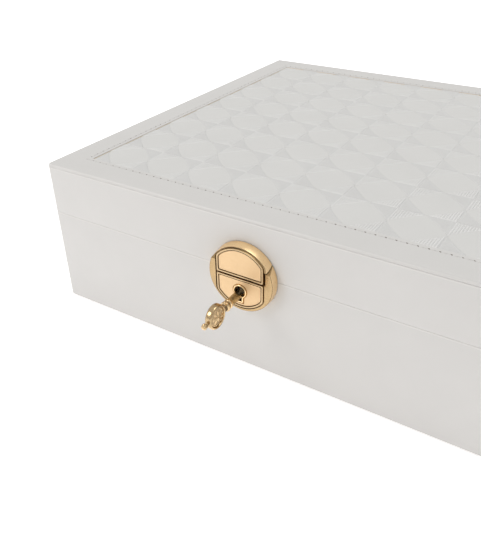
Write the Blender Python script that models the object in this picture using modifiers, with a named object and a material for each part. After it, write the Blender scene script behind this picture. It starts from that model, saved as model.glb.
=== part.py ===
"""Square leather jewellery chest: hinged lid with a hasp lock and key, two end drawers, lift-out tray.

Metres, +Z up. The origin is the middle of the underside; -Y is the front and +X is to the right.
"""
import math

import bmesh
import bpy
from mathutils import Matrix, Vector

MM = 0.001
GAP = 0.3 * MM                      # air between pieces that touch on the real chest

# Driving sizes of the chest.
WIDTH = 262 * MM                    # also the depth: the chest is square in plan
HEIGHT = 88 * MM
SEAM_Z = 58 * MM                    # where the lid parts from the base
SEAM_GAP = 0.4 * MM
CORNER_RADIUS = 2 * MM
LEATHER = 1 * MM
BOARD = 8 * MM
GROOVE_Z = 86.2 * MM                # fine groove under the lid's top layer
GROOVE_WIDTH = 0.6 * MM

HALF = WIDTH / 2
BOARD_OUT = HALF - LEATHER - GAP
BOARD_IN = BOARD_OUT - BOARD
BOARD_CORNER = CORNER_RADIUS - LEATHER - GAP
ROOM = BOARD_IN - GAP               # half the clear width between the wall boards
BASE_TOP = SEAM_Z - SEAM_GAP / 2
LID_BOTTOM = SEAM_Z + SEAM_GAP / 2

# Floor levels of the base.
FELT_TOP = 1.2 * MM
WRAP_BOTTOM = 0.4 * MM
BOTTOM_BOARD = (1.5 * MM, 5 * MM)
CEILING_BOARD = (31.3 * MM, 34.3 * MM)
LINING_FLOOR = (34.6 * MM, 35.6 * MM)
VELVET = 0.8 * MM

# Drawers.
DRAWER_FRONT_THICK = 9 * MM
DRAWER_WALL = 3 * MM
DRAWER_FRONT_Z = (5.6 * MM, 30.7 * MM)
DRAWER_BOX_Z = (5.6 * MM, 29.6 * MM)
DRAWER_BACK_X = 5 * MM
PARTITION_HALF = 2 * MM
WINDOW_MARGIN = 0.4 * MM

# Lift-out tray, dividers and ring rolls of the upper compartment.
DIVIDER_HALF = 2 * MM
DIVIDER_Z = (35.9 * MM, 56 * MM)
SHORT_DIVIDER_Y = 22 * MM
TRAY_Z = (36 * MM, 56.8 * MM)
TRAY_WALL = 2.5 * MM
TRAY_FLOOR = 2 * MM
TRAY_CELLS = (2, 3)
ROLL_COUNT = 5
ROLL_HEIGHT = 20.4 * MM

# Lid top: plain leather frame around an embossed square panel.
FRAME_MARGIN = 18 * MM
PANEL_TOP = HEIGHT - 0.7 * MM
LID_TOP_BOARD = (84.2 * MM, HEIGHT - 2 * LEATHER)
LID_FRAME_TOP = LID_TOP_BOARD[0] - GAP

# Mirror under the lid, and the gold frame that holds it to the lining.
MIRROR_HALF = 88 * MM
MIRROR_Z = (81 * MM, 82.8 * MM)
MIRROR_FRAME_WIDTH = 6 * MM
MIRROR_FRAME_BOTTOM = 80.2 * MM

# Lock: a round drum whose upper half is the hasp, around a face plate with flat sides.
LOCK_Z = 57 * MM
DRUM_RADIUS = 18.2 * MM
PLATE_RADIUS = 16.9 * MM
PLATE_HALF = 13.8 * MM
LOCK_BACK_Y = -HALF - GAP
DRUM_FRONT_Y = -HALF - 5.1 * MM
PLATE_FRONT_Y = -HALF - 5.9 * MM
PLATE_BACK_Y = -HALF - 4.3 * MM
CAVITY_FRONT_Y = -HALF - 3 * MM
SHOULDER_Z = 64.3 * MM              # where the hasp's dome meets the case's ears
SPLIT_Z = 57.4 * MM                 # top of the lower face plate
HASP_BOTTOM = 58.3 * MM
LOCK_SCREW_X = 10 * MM
LOCK_SCREW_Z = 48 * MM
HASP_SCREW_Z = 70.5 * MM

# Key and cam, on one axis that hangs a little low in the keyhole.
KEYHOLE_Z = 50.05 * MM
KEYHOLE_RADIUS = 3 * MM
KEYHOLE_SLOT_HALF = 1.2 * MM
KEYHOLE_SLOT_BOTTOM = 44.4 * MM
KEY_Z = 49.05 * MM
KEY_DROOP = math.radians(2.5)
KEY_SHAFT_RADIUS = 1.7 * MM
BOW_RADIUS = 7 * MM
BOW_THICK = 3.6 * MM
BOW_CENTRE = 21 * MM                # from the face plate, along the key

# Hinges.
HINGE_X = 75 * MM
HINGE_LENGTH = 30 * MM
HINGE_AXIS_Y = HALF + 2.6 * MM
KNUCKLE_RADIUS = 1.9 * MM
PIN_RADIUS = 0.9 * MM
KNUCKLES = 5
LEAF_THICK = 1.2 * MM
LEAF_HEIGHT = 14 * MM
SCREW_RADIUS = 1 * MM
SCREW_HOLE = 1.3 * MM
SCREW_OFFSET_X = 9 * MM
SCREW_OFFSET_Z = 8.5 * MM


# ---------------------------------------------------------------- scene and materials

def clear_scene():
    """Remove every object, and what the objects leave behind."""
    for item in list(bpy.data.objects):
        bpy.data.objects.remove(item, do_unlink=True)
    for old in list(bpy.data.collections):
        bpy.data.collections.remove(old)


def new_collection(name):
    """Add a collection to the scene."""
    made = bpy.data.collections.new(name)
    bpy.context.scene.collection.children.link(made)
    return made


def principled(name, colour, roughness, metallic=0.0):
    """A plain Principled material."""
    made = bpy.data.materials.new(name)
    made.use_nodes = True
    shader = made.node_tree.nodes["Principled BSDF"]
    shader.inputs["Base Color"].default_value = (*colour, 1)
    shader.inputs["Roughness"].default_value = roughness
    shader.inputs["Metallic"].default_value = metallic
    made.diffuse_color = (*colour, 1)
    return made


def ivory_leather():
    return principled("ivory_leather", (0.66, 0.64, 0.61), 0.5)


def raw_board():
    return principled("fibre_board", (0.42, 0.31, 0.2), 0.8)


def velvet():
    return principled("cream_velvet", (0.62, 0.54, 0.44), 0.95)


def felt():
    return principled("grey_felt", (0.3, 0.29, 0.28), 0.95)


def gold():
    return principled("gold_plate", (0.83, 0.6, 0.32), 0.22, 1.0)


def mirror_silver():
    return principled("mirror_silver", (0.9, 0.9, 0.9), 0.03, 1.0)


def steel():
    return principled("steel", (0.55, 0.55, 0.56), 0.3, 1.0)


# ---------------------------------------------------------------- shape helpers

def file_under(item, collection):
    """Move an object into one collection only."""
    for owner in list(item.users_collection):
        owner.objects.unlink(item)
    collection.objects.link(item)


def finish(item, name, material, smooth_angle=None):
    """Name a new solid, give it its material and file it with the parts or with the cutters."""
    item.name = name
    item.data.name = name
    if material is None:
        file_under(item, CUTTERS)
        item.hide_render = True
        item.display_type = "WIRE"
        return item
    item.data.materials.append(material)
    file_under(item, PARTS)
    if smooth_angle is not None:
        item.data.shade_smooth()
        item.data.set_sharp_from_angle(angle=math.radians(smooth_angle))
    return item


def apply_scale(item):
    """Bake the object's scale into its mesh."""
    item.data.transform(Matrix.Diagonal((*item.scale, 1)))
    item.scale = (1, 1, 1)


def box(name, low, high, material=None, bevel=0.0):
    """A block between two corners, with rounded edges if bevel is given."""
    low = Vector(low)
    high = Vector(high)
    bpy.ops.mesh.primitive_cube_add(size=1, location=(low + high) / 2)
    item = bpy.context.object
    item.scale = high - low
    apply_scale(item)
    finish(item, name, material)
    if bevel:
        rounding = item.modifiers.new("rounded_edges", "BEVEL")
        rounding.width = bevel
        rounding.segments = 2
        rounding.limit_method = "ANGLE"
    return item


def square_block(name, half, bottom, top, material=None, radius=0.0):
    """A block that is square in plan, with rounded upright edges if radius is given."""
    item = box(name, (-half, -half, bottom), (half, half, top), material)
    if radius:
        mesh = bmesh.new()
        mesh.from_mesh(item.data)
        upright = [edge for edge in mesh.edges
                   if abs(edge.verts[0].co.z - edge.verts[1].co.z) > (top - bottom) / 2]
        bmesh.ops.bevel(mesh, geom=upright, offset=radius, segments=4, profile=0.5, affect="EDGES")
        mesh.to_mesh(item.data)
        mesh.free()
    return item


TURN_TO = {
    "X": Matrix.Rotation(math.pi / 2, 4, "Y"),
    "Y": Matrix.Rotation(-math.pi / 2, 4, "X"),
    "Z": Matrix.Identity(4),
}


def cylinder(name, axis, radius, start, end, centre, material=None, sides=24):
    """A round bar along an axis; centre gives its place on the other two axes, in X, Y, Z order."""
    middle = (start + end) / 2
    place = list(centre)
    place.insert("XYZ".index(axis), middle)
    bpy.ops.mesh.primitive_cylinder_add(vertices=sides, radius=radius, depth=end - start,
                                        location=place)
    item = bpy.context.object
    item.data.transform(TURN_TO[axis])
    return finish(item, name, material, 40)


def turned(name, profile, axis, place, material, steps=24):
    """A turned solid: profile is (radius, height) from the top down, turned about the given axis."""
    mesh = bpy.data.meshes.new(name)
    points = [(radius, 0, height) for radius, height in profile]
    mesh.from_pydata(points, [(i, i + 1) for i in range(len(points) - 1)], [])
    item = bpy.data.objects.new(name, mesh)
    bpy.context.scene.collection.objects.link(item)
    screw = item.modifiers.new("turn", "SCREW")
    screw.axis = "Z"
    screw.steps = steps
    screw.render_steps = steps
    screw.use_merge_vertices = True
    screw.merge_threshold = 0.00001
    screw.use_normal_calculate = True
    item.matrix_world = Matrix.Translation(place) @ TURN_TO[axis]
    return finish(item, name, material)


def cut(item, *cutters):
    """Take the cutters away from a solid."""
    for cutter in cutters:
        boolean = item.modifiers.new("cut_" + cutter.name, "BOOLEAN")
        boolean.operation = "DIFFERENCE"
        boolean.object = cutter
    return item


def keep(item, *cutters):
    """Keep what a solid shares with each cutter."""
    for cutter in cutters:
        boolean = item.modifiers.new("keep_" + cutter.name, "BOOLEAN")
        boolean.operation = "INTERSECT"
        boolean.object = cutter
    return item


def join(item, *others):
    """Grow a solid by the cutter shapes that touch it."""
    for other in others:
        boolean = item.modifiers.new("join_" + other.name, "BOOLEAN")
        boolean.operation = "UNION"
        boolean.object = other
    return item


def axis_empty(name, place, rotation=(0, 0, 0)):
    """The parent of a moving body, on its joint's axis."""
    empty = bpy.data.objects.new(name, None)
    empty.empty_display_size = 10 * MM
    empty.location = place
    empty.rotation_euler = rotation
    PARTS.objects.link(empty)
    return empty


def hang_on(empty, items):
    """Parent pieces to an unturned empty, and leave them where they are."""
    for item in items:
        item.parent = empty
        item.matrix_parent_inverse = Matrix.Translation(-empty.location)


# ---------------------------------------------------------------- base

def base_wrap():
    """The leather skin around the base's four sides, folded over the rim, open where drawers go."""
    skin = square_block("base_wrap", HALF, WRAP_BOTTOM, BASE_TOP, ivory_leather(), CORNER_RADIUS)
    inside = square_block("base_wrap_inside", HALF - LEATHER, -10 * MM, BASE_TOP - LEATHER,
                          None, CORNER_RADIUS - LEATHER)
    rim = square_block("base_wrap_rim", BOARD_IN, 0, HEIGHT)
    reach = BOARD_IN - WINDOW_MARGIN
    windows = box("drawer_windows", (-WIDTH, -reach, DRAWER_FRONT_Z[0] - WINDOW_MARGIN),
                  (WIDTH, reach, DRAWER_FRONT_Z[1] + WINDOW_MARGIN))
    cut(skin, inside, rim, windows)
    for x in (-LOCK_SCREW_X, LOCK_SCREW_X):
        cut(skin, screw_hole("base_wrap_lock_hole", x, LOCK_SCREW_Z, -1))
    for x in screw_places():
        cut(skin, screw_hole("base_wrap_hinge_hole", x, SEAM_Z - SCREW_OFFSET_Z, 1))
    return skin


def screw_hole(name, x, z, side):
    """A cutter for a screw through the front (side -1) or back (side 1) wall."""
    ends = sorted((side * (BOARD_IN - GAP), side * (HALF + 4 * MM)))
    return cylinder(name, "Y", SCREW_HOLE, *ends, (x, z), sides=12)


def screw_places():
    """The X of each hinge screw in one row."""
    return [side * HINGE_X + offset for side in (-1, 1)
            for offset in (-SCREW_OFFSET_X, SCREW_OFFSET_X)]


def base_boards():
    """Wall boards, bottom board, bay ceiling and the partition between the drawers."""
    board = raw_board()
    top = BASE_TOP - LEATHER - GAP
    front = square_block("base_front_board", BOARD_OUT, BOTTOM_BOARD[0], top, board,
                         BOARD_CORNER)
    keep(front, box("front_half", (-WIDTH, -WIDTH, 0), (WIDTH, -BOARD_IN, HEIGHT)))
    for x in (-LOCK_SCREW_X, LOCK_SCREW_X):
        cut(front, screw_hole("front_board_hole", x, LOCK_SCREW_Z, -1))
        cut(front, cylinder("front_board_recess", "Y", 3 * MM, -BOARD_IN - 1.6 * MM,
                            -BOARD_IN + 1 * MM, (x, LOCK_SCREW_Z), sides=12))
    back = square_block("base_back_board", BOARD_OUT, BOTTOM_BOARD[0], top, board,
                        BOARD_CORNER)
    keep(back, box("back_half", (-WIDTH, BOARD_IN, 0), (WIDTH, WIDTH, HEIGHT)))
    for x in screw_places():
        cut(back, screw_hole("back_board_hole", x, SEAM_Z - SCREW_OFFSET_Z, 1))
    box("base_left_board", (-BOARD_OUT, -ROOM, CEILING_BOARD[0]), (-BOARD_IN, ROOM, top), board)
    box("base_right_board", (BOARD_IN, -ROOM, CEILING_BOARD[0]), (BOARD_OUT, ROOM, top), board)
    box("base_bottom_board", (-BOARD_OUT, -ROOM, BOTTOM_BOARD[0]),
        (BOARD_OUT, ROOM, BOTTOM_BOARD[1]), board)
    box("bay_ceiling_board", (-ROOM, -ROOM, CEILING_BOARD[0]), (ROOM, ROOM, CEILING_BOARD[1]),
        board)
    box("bay_partition", (-PARTITION_HALF, -ROOM, BOTTOM_BOARD[1] + GAP),
        (PARTITION_HALF, ROOM, CEILING_BOARD[0] - GAP), board)


def base_felt():
    """The felt sheet that the chest stands on."""
    return square_block("base_felt", HALF - 4 * MM, 0, FELT_TOP, felt())


def compartment_lining():
    """The velvet floor and walls of the upper compartment."""
    lining = square_block("compartment_lining", ROOM, LINING_FLOOR[0], BASE_TOP - GAP, velvet())
    inside = square_block("compartment_inside", ROOM - VELVET, LINING_FLOOR[1], HEIGHT)
    return cut(lining, inside)


def compartment_half():
    """Half the clear width inside the lining."""
    return ROOM - VELVET - GAP


def dividers():
    """The long divider in the middle, and the short one behind the ring rolls."""
    reach = compartment_half()
    box("divider_long", (-DIVIDER_HALF, -reach, DIVIDER_Z[0]), (DIVIDER_HALF, reach, DIVIDER_Z[1]),
        velvet(), 0.8 * MM)
    box("divider_short", (-reach, SHORT_DIVIDER_Y, DIVIDER_Z[0]),
        (-DIVIDER_HALF - GAP, SHORT_DIVIDER_Y + 2 * DIVIDER_HALF, DIVIDER_Z[1]), velvet(),
        0.8 * MM)


def ring_rolls():
    """Padded rolls, side by side, that grip rings between them."""
    reach = compartment_half()
    start = -reach
    pitch = (SHORT_DIVIDER_Y - GAP - start) / ROLL_COUNT
    ends = (-reach + GAP, -DIVIDER_HALF - 2 * GAP)
    for number in range(ROLL_COUNT):
        centre_y = start + pitch * (number + 0.5)
        centre_z = DIVIDER_Z[0] + ROLL_HEIGHT / 2
        roll = cylinder("ring_roll_%d" % (number + 1), "X", 0.5, *ends, (centre_y, centre_z),
                        velvet(), 20)
        roll.scale = (1, pitch - GAP, ROLL_HEIGHT)
        apply_scale(roll)


# ---------------------------------------------------------------- drawers

def drawer(side, word):
    """One end drawer: side is -1 for the left and 1 for the right."""
    front_ends = sorted((side * (HALF - DRAWER_FRONT_THICK), side * HALF))
    front = box("drawer_%s_front" % word,
                (front_ends[0], -BOARD_IN + 2 * WINDOW_MARGIN, DRAWER_FRONT_Z[0]),
                (front_ends[1], BOARD_IN - 2 * WINDOW_MARGIN, DRAWER_FRONT_Z[1]),
                ivory_leather(), 0.8 * MM)
    reach = ROOM - 2 * GAP
    outer = side * (HALF - DRAWER_FRONT_THICK - GAP)
    inner = side * DRAWER_BACK_X
    ends = sorted((outer, inner))
    tray = box("drawer_%s_box" % word, (ends[0], -reach, DRAWER_BOX_Z[0]),
               (ends[1], reach, DRAWER_BOX_Z[1]), raw_board())
    wall = DRAWER_WALL
    cut(tray, box("drawer_%s_room" % word, (ends[0] + wall, -reach + wall, DRAWER_BOX_Z[0] + wall),
                  (ends[1] - wall, reach - wall, HEIGHT)))
    skin = wall + GAP
    lining = box("drawer_%s_lining" % word,
                 (ends[0] + skin, -reach + skin, DRAWER_BOX_Z[0] + skin),
                 (ends[1] - skin, reach - skin, DRAWER_BOX_Z[1]), velvet())
    skin = skin + VELVET
    cut(lining, box("drawer_%s_lining_room" % word,
                    (ends[0] + skin, -reach + skin, DRAWER_BOX_Z[0] + skin),
                    (ends[1] - skin, reach - skin, HEIGHT)))
    knob = drawer_knob(side, word)
    empty = axis_empty("drawer_%s_slide" % word, (side * HALF, 0, knob.location.z))
    hang_on(empty, [front, tray, lining, knob])


def drawer_knob(side, word):
    """A small turned gold knob with a foot ring, a waist and a round head."""
    profile = [(0.0, 9.4), (1.9, 9.2), (3.6, 8.4), (4.4, 7.0), (4.2, 5.6), (3.0, 4.4), (1.9, 3.4),
               (1.8, 2.0), (2.6, 1.2), (4.0, 0.9), (4.2, 0.3), (0.0, 0.3)]
    scaled = [(radius * MM, height * MM) for radius, height in profile]
    centre_z = (DRAWER_FRONT_Z[0] + DRAWER_FRONT_Z[1]) / 2
    knob = turned("drawer_%s_knob" % word, scaled, "X", (side * HALF, 0, centre_z), gold(), 20)
    if side < 0:
        knob.matrix_world = knob.matrix_world @ Matrix.Rotation(math.pi, 4, "X")
    return knob


# ---------------------------------------------------------------- lift-out tray

def tray():
    """A shallow tray with six cells, which lifts straight out of the right half."""
    reach = compartment_half() - 2 * GAP
    low_x = DIVIDER_HALF + 2 * GAP
    body = box("tray_box", (low_x, -reach, TRAY_Z[0]), (reach, reach, TRAY_Z[1]), velvet(),
               0.8 * MM)
    columns, rows = TRAY_CELLS
    cell_x = (reach - low_x - TRAY_WALL) / columns
    cell_y = (2 * reach - TRAY_WALL) / rows
    for column in range(columns):
        for row in range(rows):
            corner = (low_x + TRAY_WALL + column * cell_x, -reach + TRAY_WALL + row * cell_y)
            cut(body, box("tray_cell", (*corner, TRAY_Z[0] + TRAY_FLOOR),
                          (corner[0] + cell_x - TRAY_WALL, corner[1] + cell_y - TRAY_WALL,
                           HEIGHT)))
    tab_x = low_x + TRAY_WALL + GAP
    tab = box("tray_pull_tab", (tab_x, -cell_y * 0.2, TRAY_Z[0] + 10 * MM),
              (tab_x + 0.8 * MM, cell_y * 0.2, TRAY_Z[1] + 3 * MM), ivory_leather())
    empty = axis_empty("tray_lift", (low_x + reach / 2, 0, TRAY_Z[0]))
    hang_on(empty, [body, tab])


# ---------------------------------------------------------------- lock on the base

def drum(name, front_y, back_y, radius, material=None):
    """A round slab of the lock, along Y."""
    return cylinder(name, "Y", radius, front_y, back_y, (0, LOCK_Z), material, 64)


def slab(name, half_x, front_y, back_y, bottom, top, centre_x=0.0, material=None):
    """A block of the lock, given by its half width and its levels."""
    return box(name, (centre_x - half_x, front_y, bottom), (centre_x + half_x, back_y, top),
               material)


def keyhole_cutters(name, margin=0.0):
    """The round hole and the slot under it."""
    front = -HALF - 20 * MM
    back = -HALF + 1 * MM
    hole = cylinder(name + "_round", "Y", KEYHOLE_RADIUS + margin, front, back, (0, KEYHOLE_Z),
                    sides=24)
    slot = slab(name + "_slot", KEYHOLE_SLOT_HALF + margin, front, back,
                KEYHOLE_SLOT_BOTTOM - margin, KEYHOLE_Z)
    return hole, slot


def lock_case():
    """The drum's lower part with an ear up each side of the hasp, hollow behind."""
    case = drum("lock_case", DRUM_FRONT_Y, LOCK_BACK_Y, DRUM_RADIUS, gold())
    far = 60 * MM
    gap = slab("hasp_space", PLATE_HALF + 0.4 * MM, -HALF - far, -HALF + far, SPLIT_Z, far * 2)
    above = slab("over_ears", far, -HALF - far, -HALF + far, SHOULDER_Z - 0.3 * MM, far * 2)
    room = drum("case_room", CAVITY_FRONT_Y, -HALF + far, DRUM_RADIUS - 1.4 * MM)
    cut(room, slab("case_room_top", far, -HALF - far, 2 * far - HALF, SPLIT_Z - 1.2 * MM, far * 2))
    seat = plate_outline("face_plate_seat", -HALF - far, PLATE_BACK_Y + GAP, GAP, far * 2)
    way = slab("hook_way", 3.6 * MM, CAVITY_FRONT_Y, -HALF + far, SPLIT_Z - 5 * MM, far * 2,
               2.2 * MM)
    cut(case, gap, above, room, seat, way, *keyhole_cutters("case_keyhole"))
    for x in (-LOCK_SCREW_X, LOCK_SCREW_X):
        boss = cylinder("case_boss", "Y", 2.3 * MM, CAVITY_FRONT_Y - 0.4 * MM, LOCK_BACK_Y,
                        (x, LOCK_SCREW_Z), sides=16)
        hole = cylinder("case_boss_hole", "Y", SCREW_HOLE, CAVITY_FRONT_Y + 0.3 * MM, -HALF + far,
                        (x, LOCK_SCREW_Z), sides=12)
        join(case, boss)
        cut(case, hole)
    return case


def plate_outline(name, front_y, back_y, grow, top, bottom=0.0, material=None):
    """A round plate with a flat down each side, between two levels."""
    plate = drum(name, front_y, back_y, PLATE_RADIUS + grow, material)
    sides = slab(name + "_sides", PLATE_HALF + grow, front_y - MM, back_y + MM, bottom, top)
    return keep(plate, sides)


def lock_face_plate():
    """The lower half of the face plate, with the keyhole."""
    plate = plate_outline("lock_face_plate", PLATE_FRONT_Y, PLATE_BACK_Y, 0, SPLIT_Z,
                          material=gold())
    return cut(plate, *keyhole_cutters("plate_keyhole"))


def keyhole_ring():
    """The raised rim that follows the keyhole's outline."""
    front = PLATE_FRONT_Y - GAP - 0.5 * MM
    back = PLATE_FRONT_Y - GAP
    rim = 0.8 * MM
    ring = cylinder("keyhole_ring", "Y", KEYHOLE_RADIUS + rim, front, back, (0, KEYHOLE_Z),
                    gold(), 32)
    foot = slab("keyhole_ring_foot", KEYHOLE_SLOT_HALF + rim, front, back,
                KEYHOLE_SLOT_BOTTOM - rim, KEYHOLE_Z)
    join(ring, foot)
    return cut(ring, *keyhole_cutters("ring_keyhole"))


def lock_screws():
    """Two screws from inside the chest into the case's bosses."""
    for x, word in ((-LOCK_SCREW_X, "left"), (LOCK_SCREW_X, "right")):
        wall_screw("lock_screw_" + word, x, LOCK_SCREW_Z, -1, -HALF - 2.4 * MM,
                   -BOARD_IN - 1.2 * MM)


def wall_screw(name, x, z, side, tip_y, head_y):
    """A screw along Y, from its tip to the underside of its head, which faces +Y."""
    screw = cylinder(name, "Y", SCREW_RADIUS, tip_y, head_y + 0.2 * MM, (x, z), steel(), 12)
    ends = (head_y, head_y + 1 * MM)
    head = cylinder(name + "_head", "Y", 2.3 * MM, *ends, (x, z), sides=12)
    return join(screw, head)


def lock_cam(empty):
    """The cam that the key's bit turns: a hub, a lobe round the bit, and a curved finger."""
    front = 3.5 * MM
    back = 4.9 * MM
    cam = cylinder("lock_cam", "Y", 3 * MM, front, back, (0, 0), steel(), 24)
    lobe = box("cam_lobe", (-2.3 * MM, front, -5.4 * MM), (2.3 * MM, back, 0))
    finger = flat_sector("cam_finger", 5.4 * MM, 6.8 * MM, 160, 222, front, back)
    web = flat_sector("cam_web", 2 * MM, 6.2 * MM, 204, 222, front, back)
    bore = cylinder("cam_bore", "Y", KEY_SHAFT_RADIUS + GAP, front - MM, back + MM, (0, 0),
                    sides=20)
    slot = box("cam_slot", (-1.2 * MM, front - MM, -4.3 * MM), (1.2 * MM, back + MM, 0))
    join(cam, lobe, finger, web)
    cut(cam, bore, slot)
    for item in (cam, lobe, finger, web, bore, slot):
        item.parent = empty
    return cam


def flat_sector(name, inner, outer, first, last, front_y, back_y):
    """A cutter plate in the shape of a ring's sector, between two angles from +X towards +Z."""
    steps = 8
    angles = [math.radians(first + (last - first) * i / steps) for i in range(steps + 1)]
    outline = [(outer * math.cos(a), outer * math.sin(a)) for a in angles]
    outline += [(inner * math.cos(a), inner * math.sin(a)) for a in reversed(angles)]
    curve = bpy.data.curves.new(name, "CURVE")
    curve.dimensions = "2D"
    curve.fill_mode = "BOTH"
    curve.extrude = (back_y - front_y) / 2
    spline = curve.splines.new("POLY")
    spline.points.add(len(outline) - 1)
    for point, (x, z) in zip(spline.points, outline):
        point.co = (x, z, 0, 1)
    spline.use_cyclic_u = True
    drawn = bpy.data.objects.new(name, curve)
    bpy.context.scene.collection.objects.link(drawn)
    bpy.context.view_layer.update()
    solid = bpy.data.meshes.new_from_object(drawn.evaluated_get(
        bpy.context.evaluated_depsgraph_get()))
    bpy.data.objects.remove(drawn, do_unlink=True)
    mesh = bmesh.new()
    mesh.from_mesh(solid)
    bmesh.ops.remove_doubles(mesh, verts=mesh.verts, dist=0.000001)
    mesh.transform(Matrix.Translation((0, (front_y + back_y) / 2, 0))
                   @ Matrix.Rotation(math.pi / 2, 4, "X"))
    bmesh.ops.recalc_face_normals(mesh, faces=mesh.faces)
    mesh.to_mesh(solid)
    mesh.free()
    item = bpy.data.objects.new(name, solid)
    bpy.context.scene.collection.objects.link(item)
    return finish(item, name, None)


def key(empty):
    """The key: bit and shaft, two collars, a thick round bow and a ball at its end."""
    tip = 5.2 * MM
    profile = [(0.0, tip), (1.1 * MM, tip), (KEY_SHAFT_RADIUS, tip - 0.6 * MM),
               (KEY_SHAFT_RADIUS, -9 * MM), (2.5 * MM, -9.3 * MM), (2.5 * MM, -10.3 * MM),
               (1.8 * MM, -10.7 * MM), (1.8 * MM, -11.3 * MM), (2.7 * MM, -11.7 * MM),
               (2.7 * MM, -12.9 * MM), (1.9 * MM, -13.3 * MM), (1.7 * MM, -16 * MM),
               (0.0, -16 * MM)]
    shaft = turned("key", profile, "Y", (0, 0, 0), gold(), 20)
    bow = cylinder("key_bow", "X", BOW_RADIUS, -BOW_THICK / 2, BOW_THICK / 2, (-BOW_CENTRE, 0),
                   sides=40)
    rounding = bow.modifiers.new("rounded_rim", "BEVEL")
    rounding.width = 1 * MM
    rounding.segments = 2
    neck = cylinder("key_neck", "Y", 0.9 * MM, -BOW_CENTRE - BOW_RADIUS - 1.4 * MM, -BOW_CENTRE,
                    (0, 0), sides=16)
    bpy.ops.mesh.primitive_uv_sphere_add(segments=16, ring_count=10, radius=1.6 * MM,
                                         location=(0, -BOW_CENTRE - BOW_RADIUS - 1.9 * MM, 0))
    ball = finish(bpy.context.object, "key_ball", None)
    bit = box("key_bit", (-0.8 * MM, 3.3 * MM, -3.9 * MM), (0.8 * MM, 4.9 * MM, 0))
    join(shaft, bow, neck, ball, bit)
    for item in (shaft, bow, neck, ball, bit):
        item.parent = empty
    return shaft


# ---------------------------------------------------------------- lid

def lid_wrap():
    """The leather skin around the lid's sides, folded under the rim."""
    top = GROOVE_Z - GROOVE_WIDTH / 2
    skin = square_block("lid_wrap", HALF, LID_BOTTOM, top, ivory_leather(), CORNER_RADIUS)
    inside = square_block("lid_wrap_inside", HALF - LEATHER, LID_BOTTOM + LEATHER, HEIGHT * 2,
                          None, CORNER_RADIUS - LEATHER)
    rim = square_block("lid_wrap_rim", BOARD_IN, 0, HEIGHT * 2)
    cut(skin, inside, rim, screw_hole("lid_wrap_hasp_hole", 0, HASP_SCREW_Z, -1))
    for x in screw_places():
        cut(skin, screw_hole("lid_wrap_hinge_hole", x, SEAM_Z + SCREW_OFFSET_Z, 1))
    return skin


def lid_frame():
    """The lid's four wall boards, glued into one frame."""
    bottom = LID_BOTTOM + LEATHER + GAP
    frame = square_block("lid_frame", BOARD_OUT, bottom, LID_FRAME_TOP, raw_board(), BOARD_CORNER)
    cut(frame, square_block("lid_frame_room", BOARD_IN, 0, HEIGHT * 2))
    cut(frame, screw_hole("lid_frame_hasp_hole", 0, HASP_SCREW_Z, -1))
    cut(frame, cylinder("lid_frame_recess", "Y", 3 * MM, -BOARD_IN - 1.6 * MM,
                        -BOARD_IN + 1 * MM, (0, HASP_SCREW_Z), sides=12))
    for x in screw_places():
        cut(frame, screw_hole("lid_frame_hinge_hole", x, SEAM_Z + SCREW_OFFSET_Z, 1))
    return frame


def lid_top():
    """The top board, the leather frame folded over its edge, and the embossed panel."""
    top_board = square_block("lid_top_board", BOARD_OUT, *LID_TOP_BOARD, raw_board(),
                             BOARD_CORNER)
    skirt_bottom = GROOVE_Z + GROOVE_WIDTH / 2
    frame = square_block("lid_top_leather", HALF, skirt_bottom, HEIGHT, ivory_leather(),
                         CORNER_RADIUS)
    inside = square_block("top_leather_inside", HALF - LEATHER, 0, HEIGHT - LEATHER,
                          None, CORNER_RADIUS - LEATHER)
    opening = square_block("top_leather_opening", HALF - FRAME_MARGIN, 0, HEIGHT * 2)
    cut(frame, inside, opening)
    panel_half = HALF - FRAME_MARGIN - GAP
    panel = square_block("lid_embossed_panel", panel_half, LID_TOP_BOARD[1] + GAP, PANEL_TOP,
                         ivory_leather())
    return top_board, frame, panel


def lid_inside():
    """The velvet lining, the mirror and the frame round it."""
    lining = square_block("lid_lining", ROOM, LID_BOTTOM + GAP, LID_FRAME_TOP, velvet())
    cut(lining, square_block("lid_lining_room", ROOM - VELVET, 0, LID_FRAME_TOP - VELVET))
    glass = square_block("mirror_glass", MIRROR_HALF, *MIRROR_Z, mirror_silver())
    edge = square_block("mirror_frame", MIRROR_HALF + MIRROR_FRAME_WIDTH, MIRROR_FRAME_BOTTOM,
                        MIRROR_Z[1], gold())
    cut(edge, square_block("mirror_frame_opening", MIRROR_HALF + GAP, 0, HEIGHT))
    return lining, glass, edge


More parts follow.
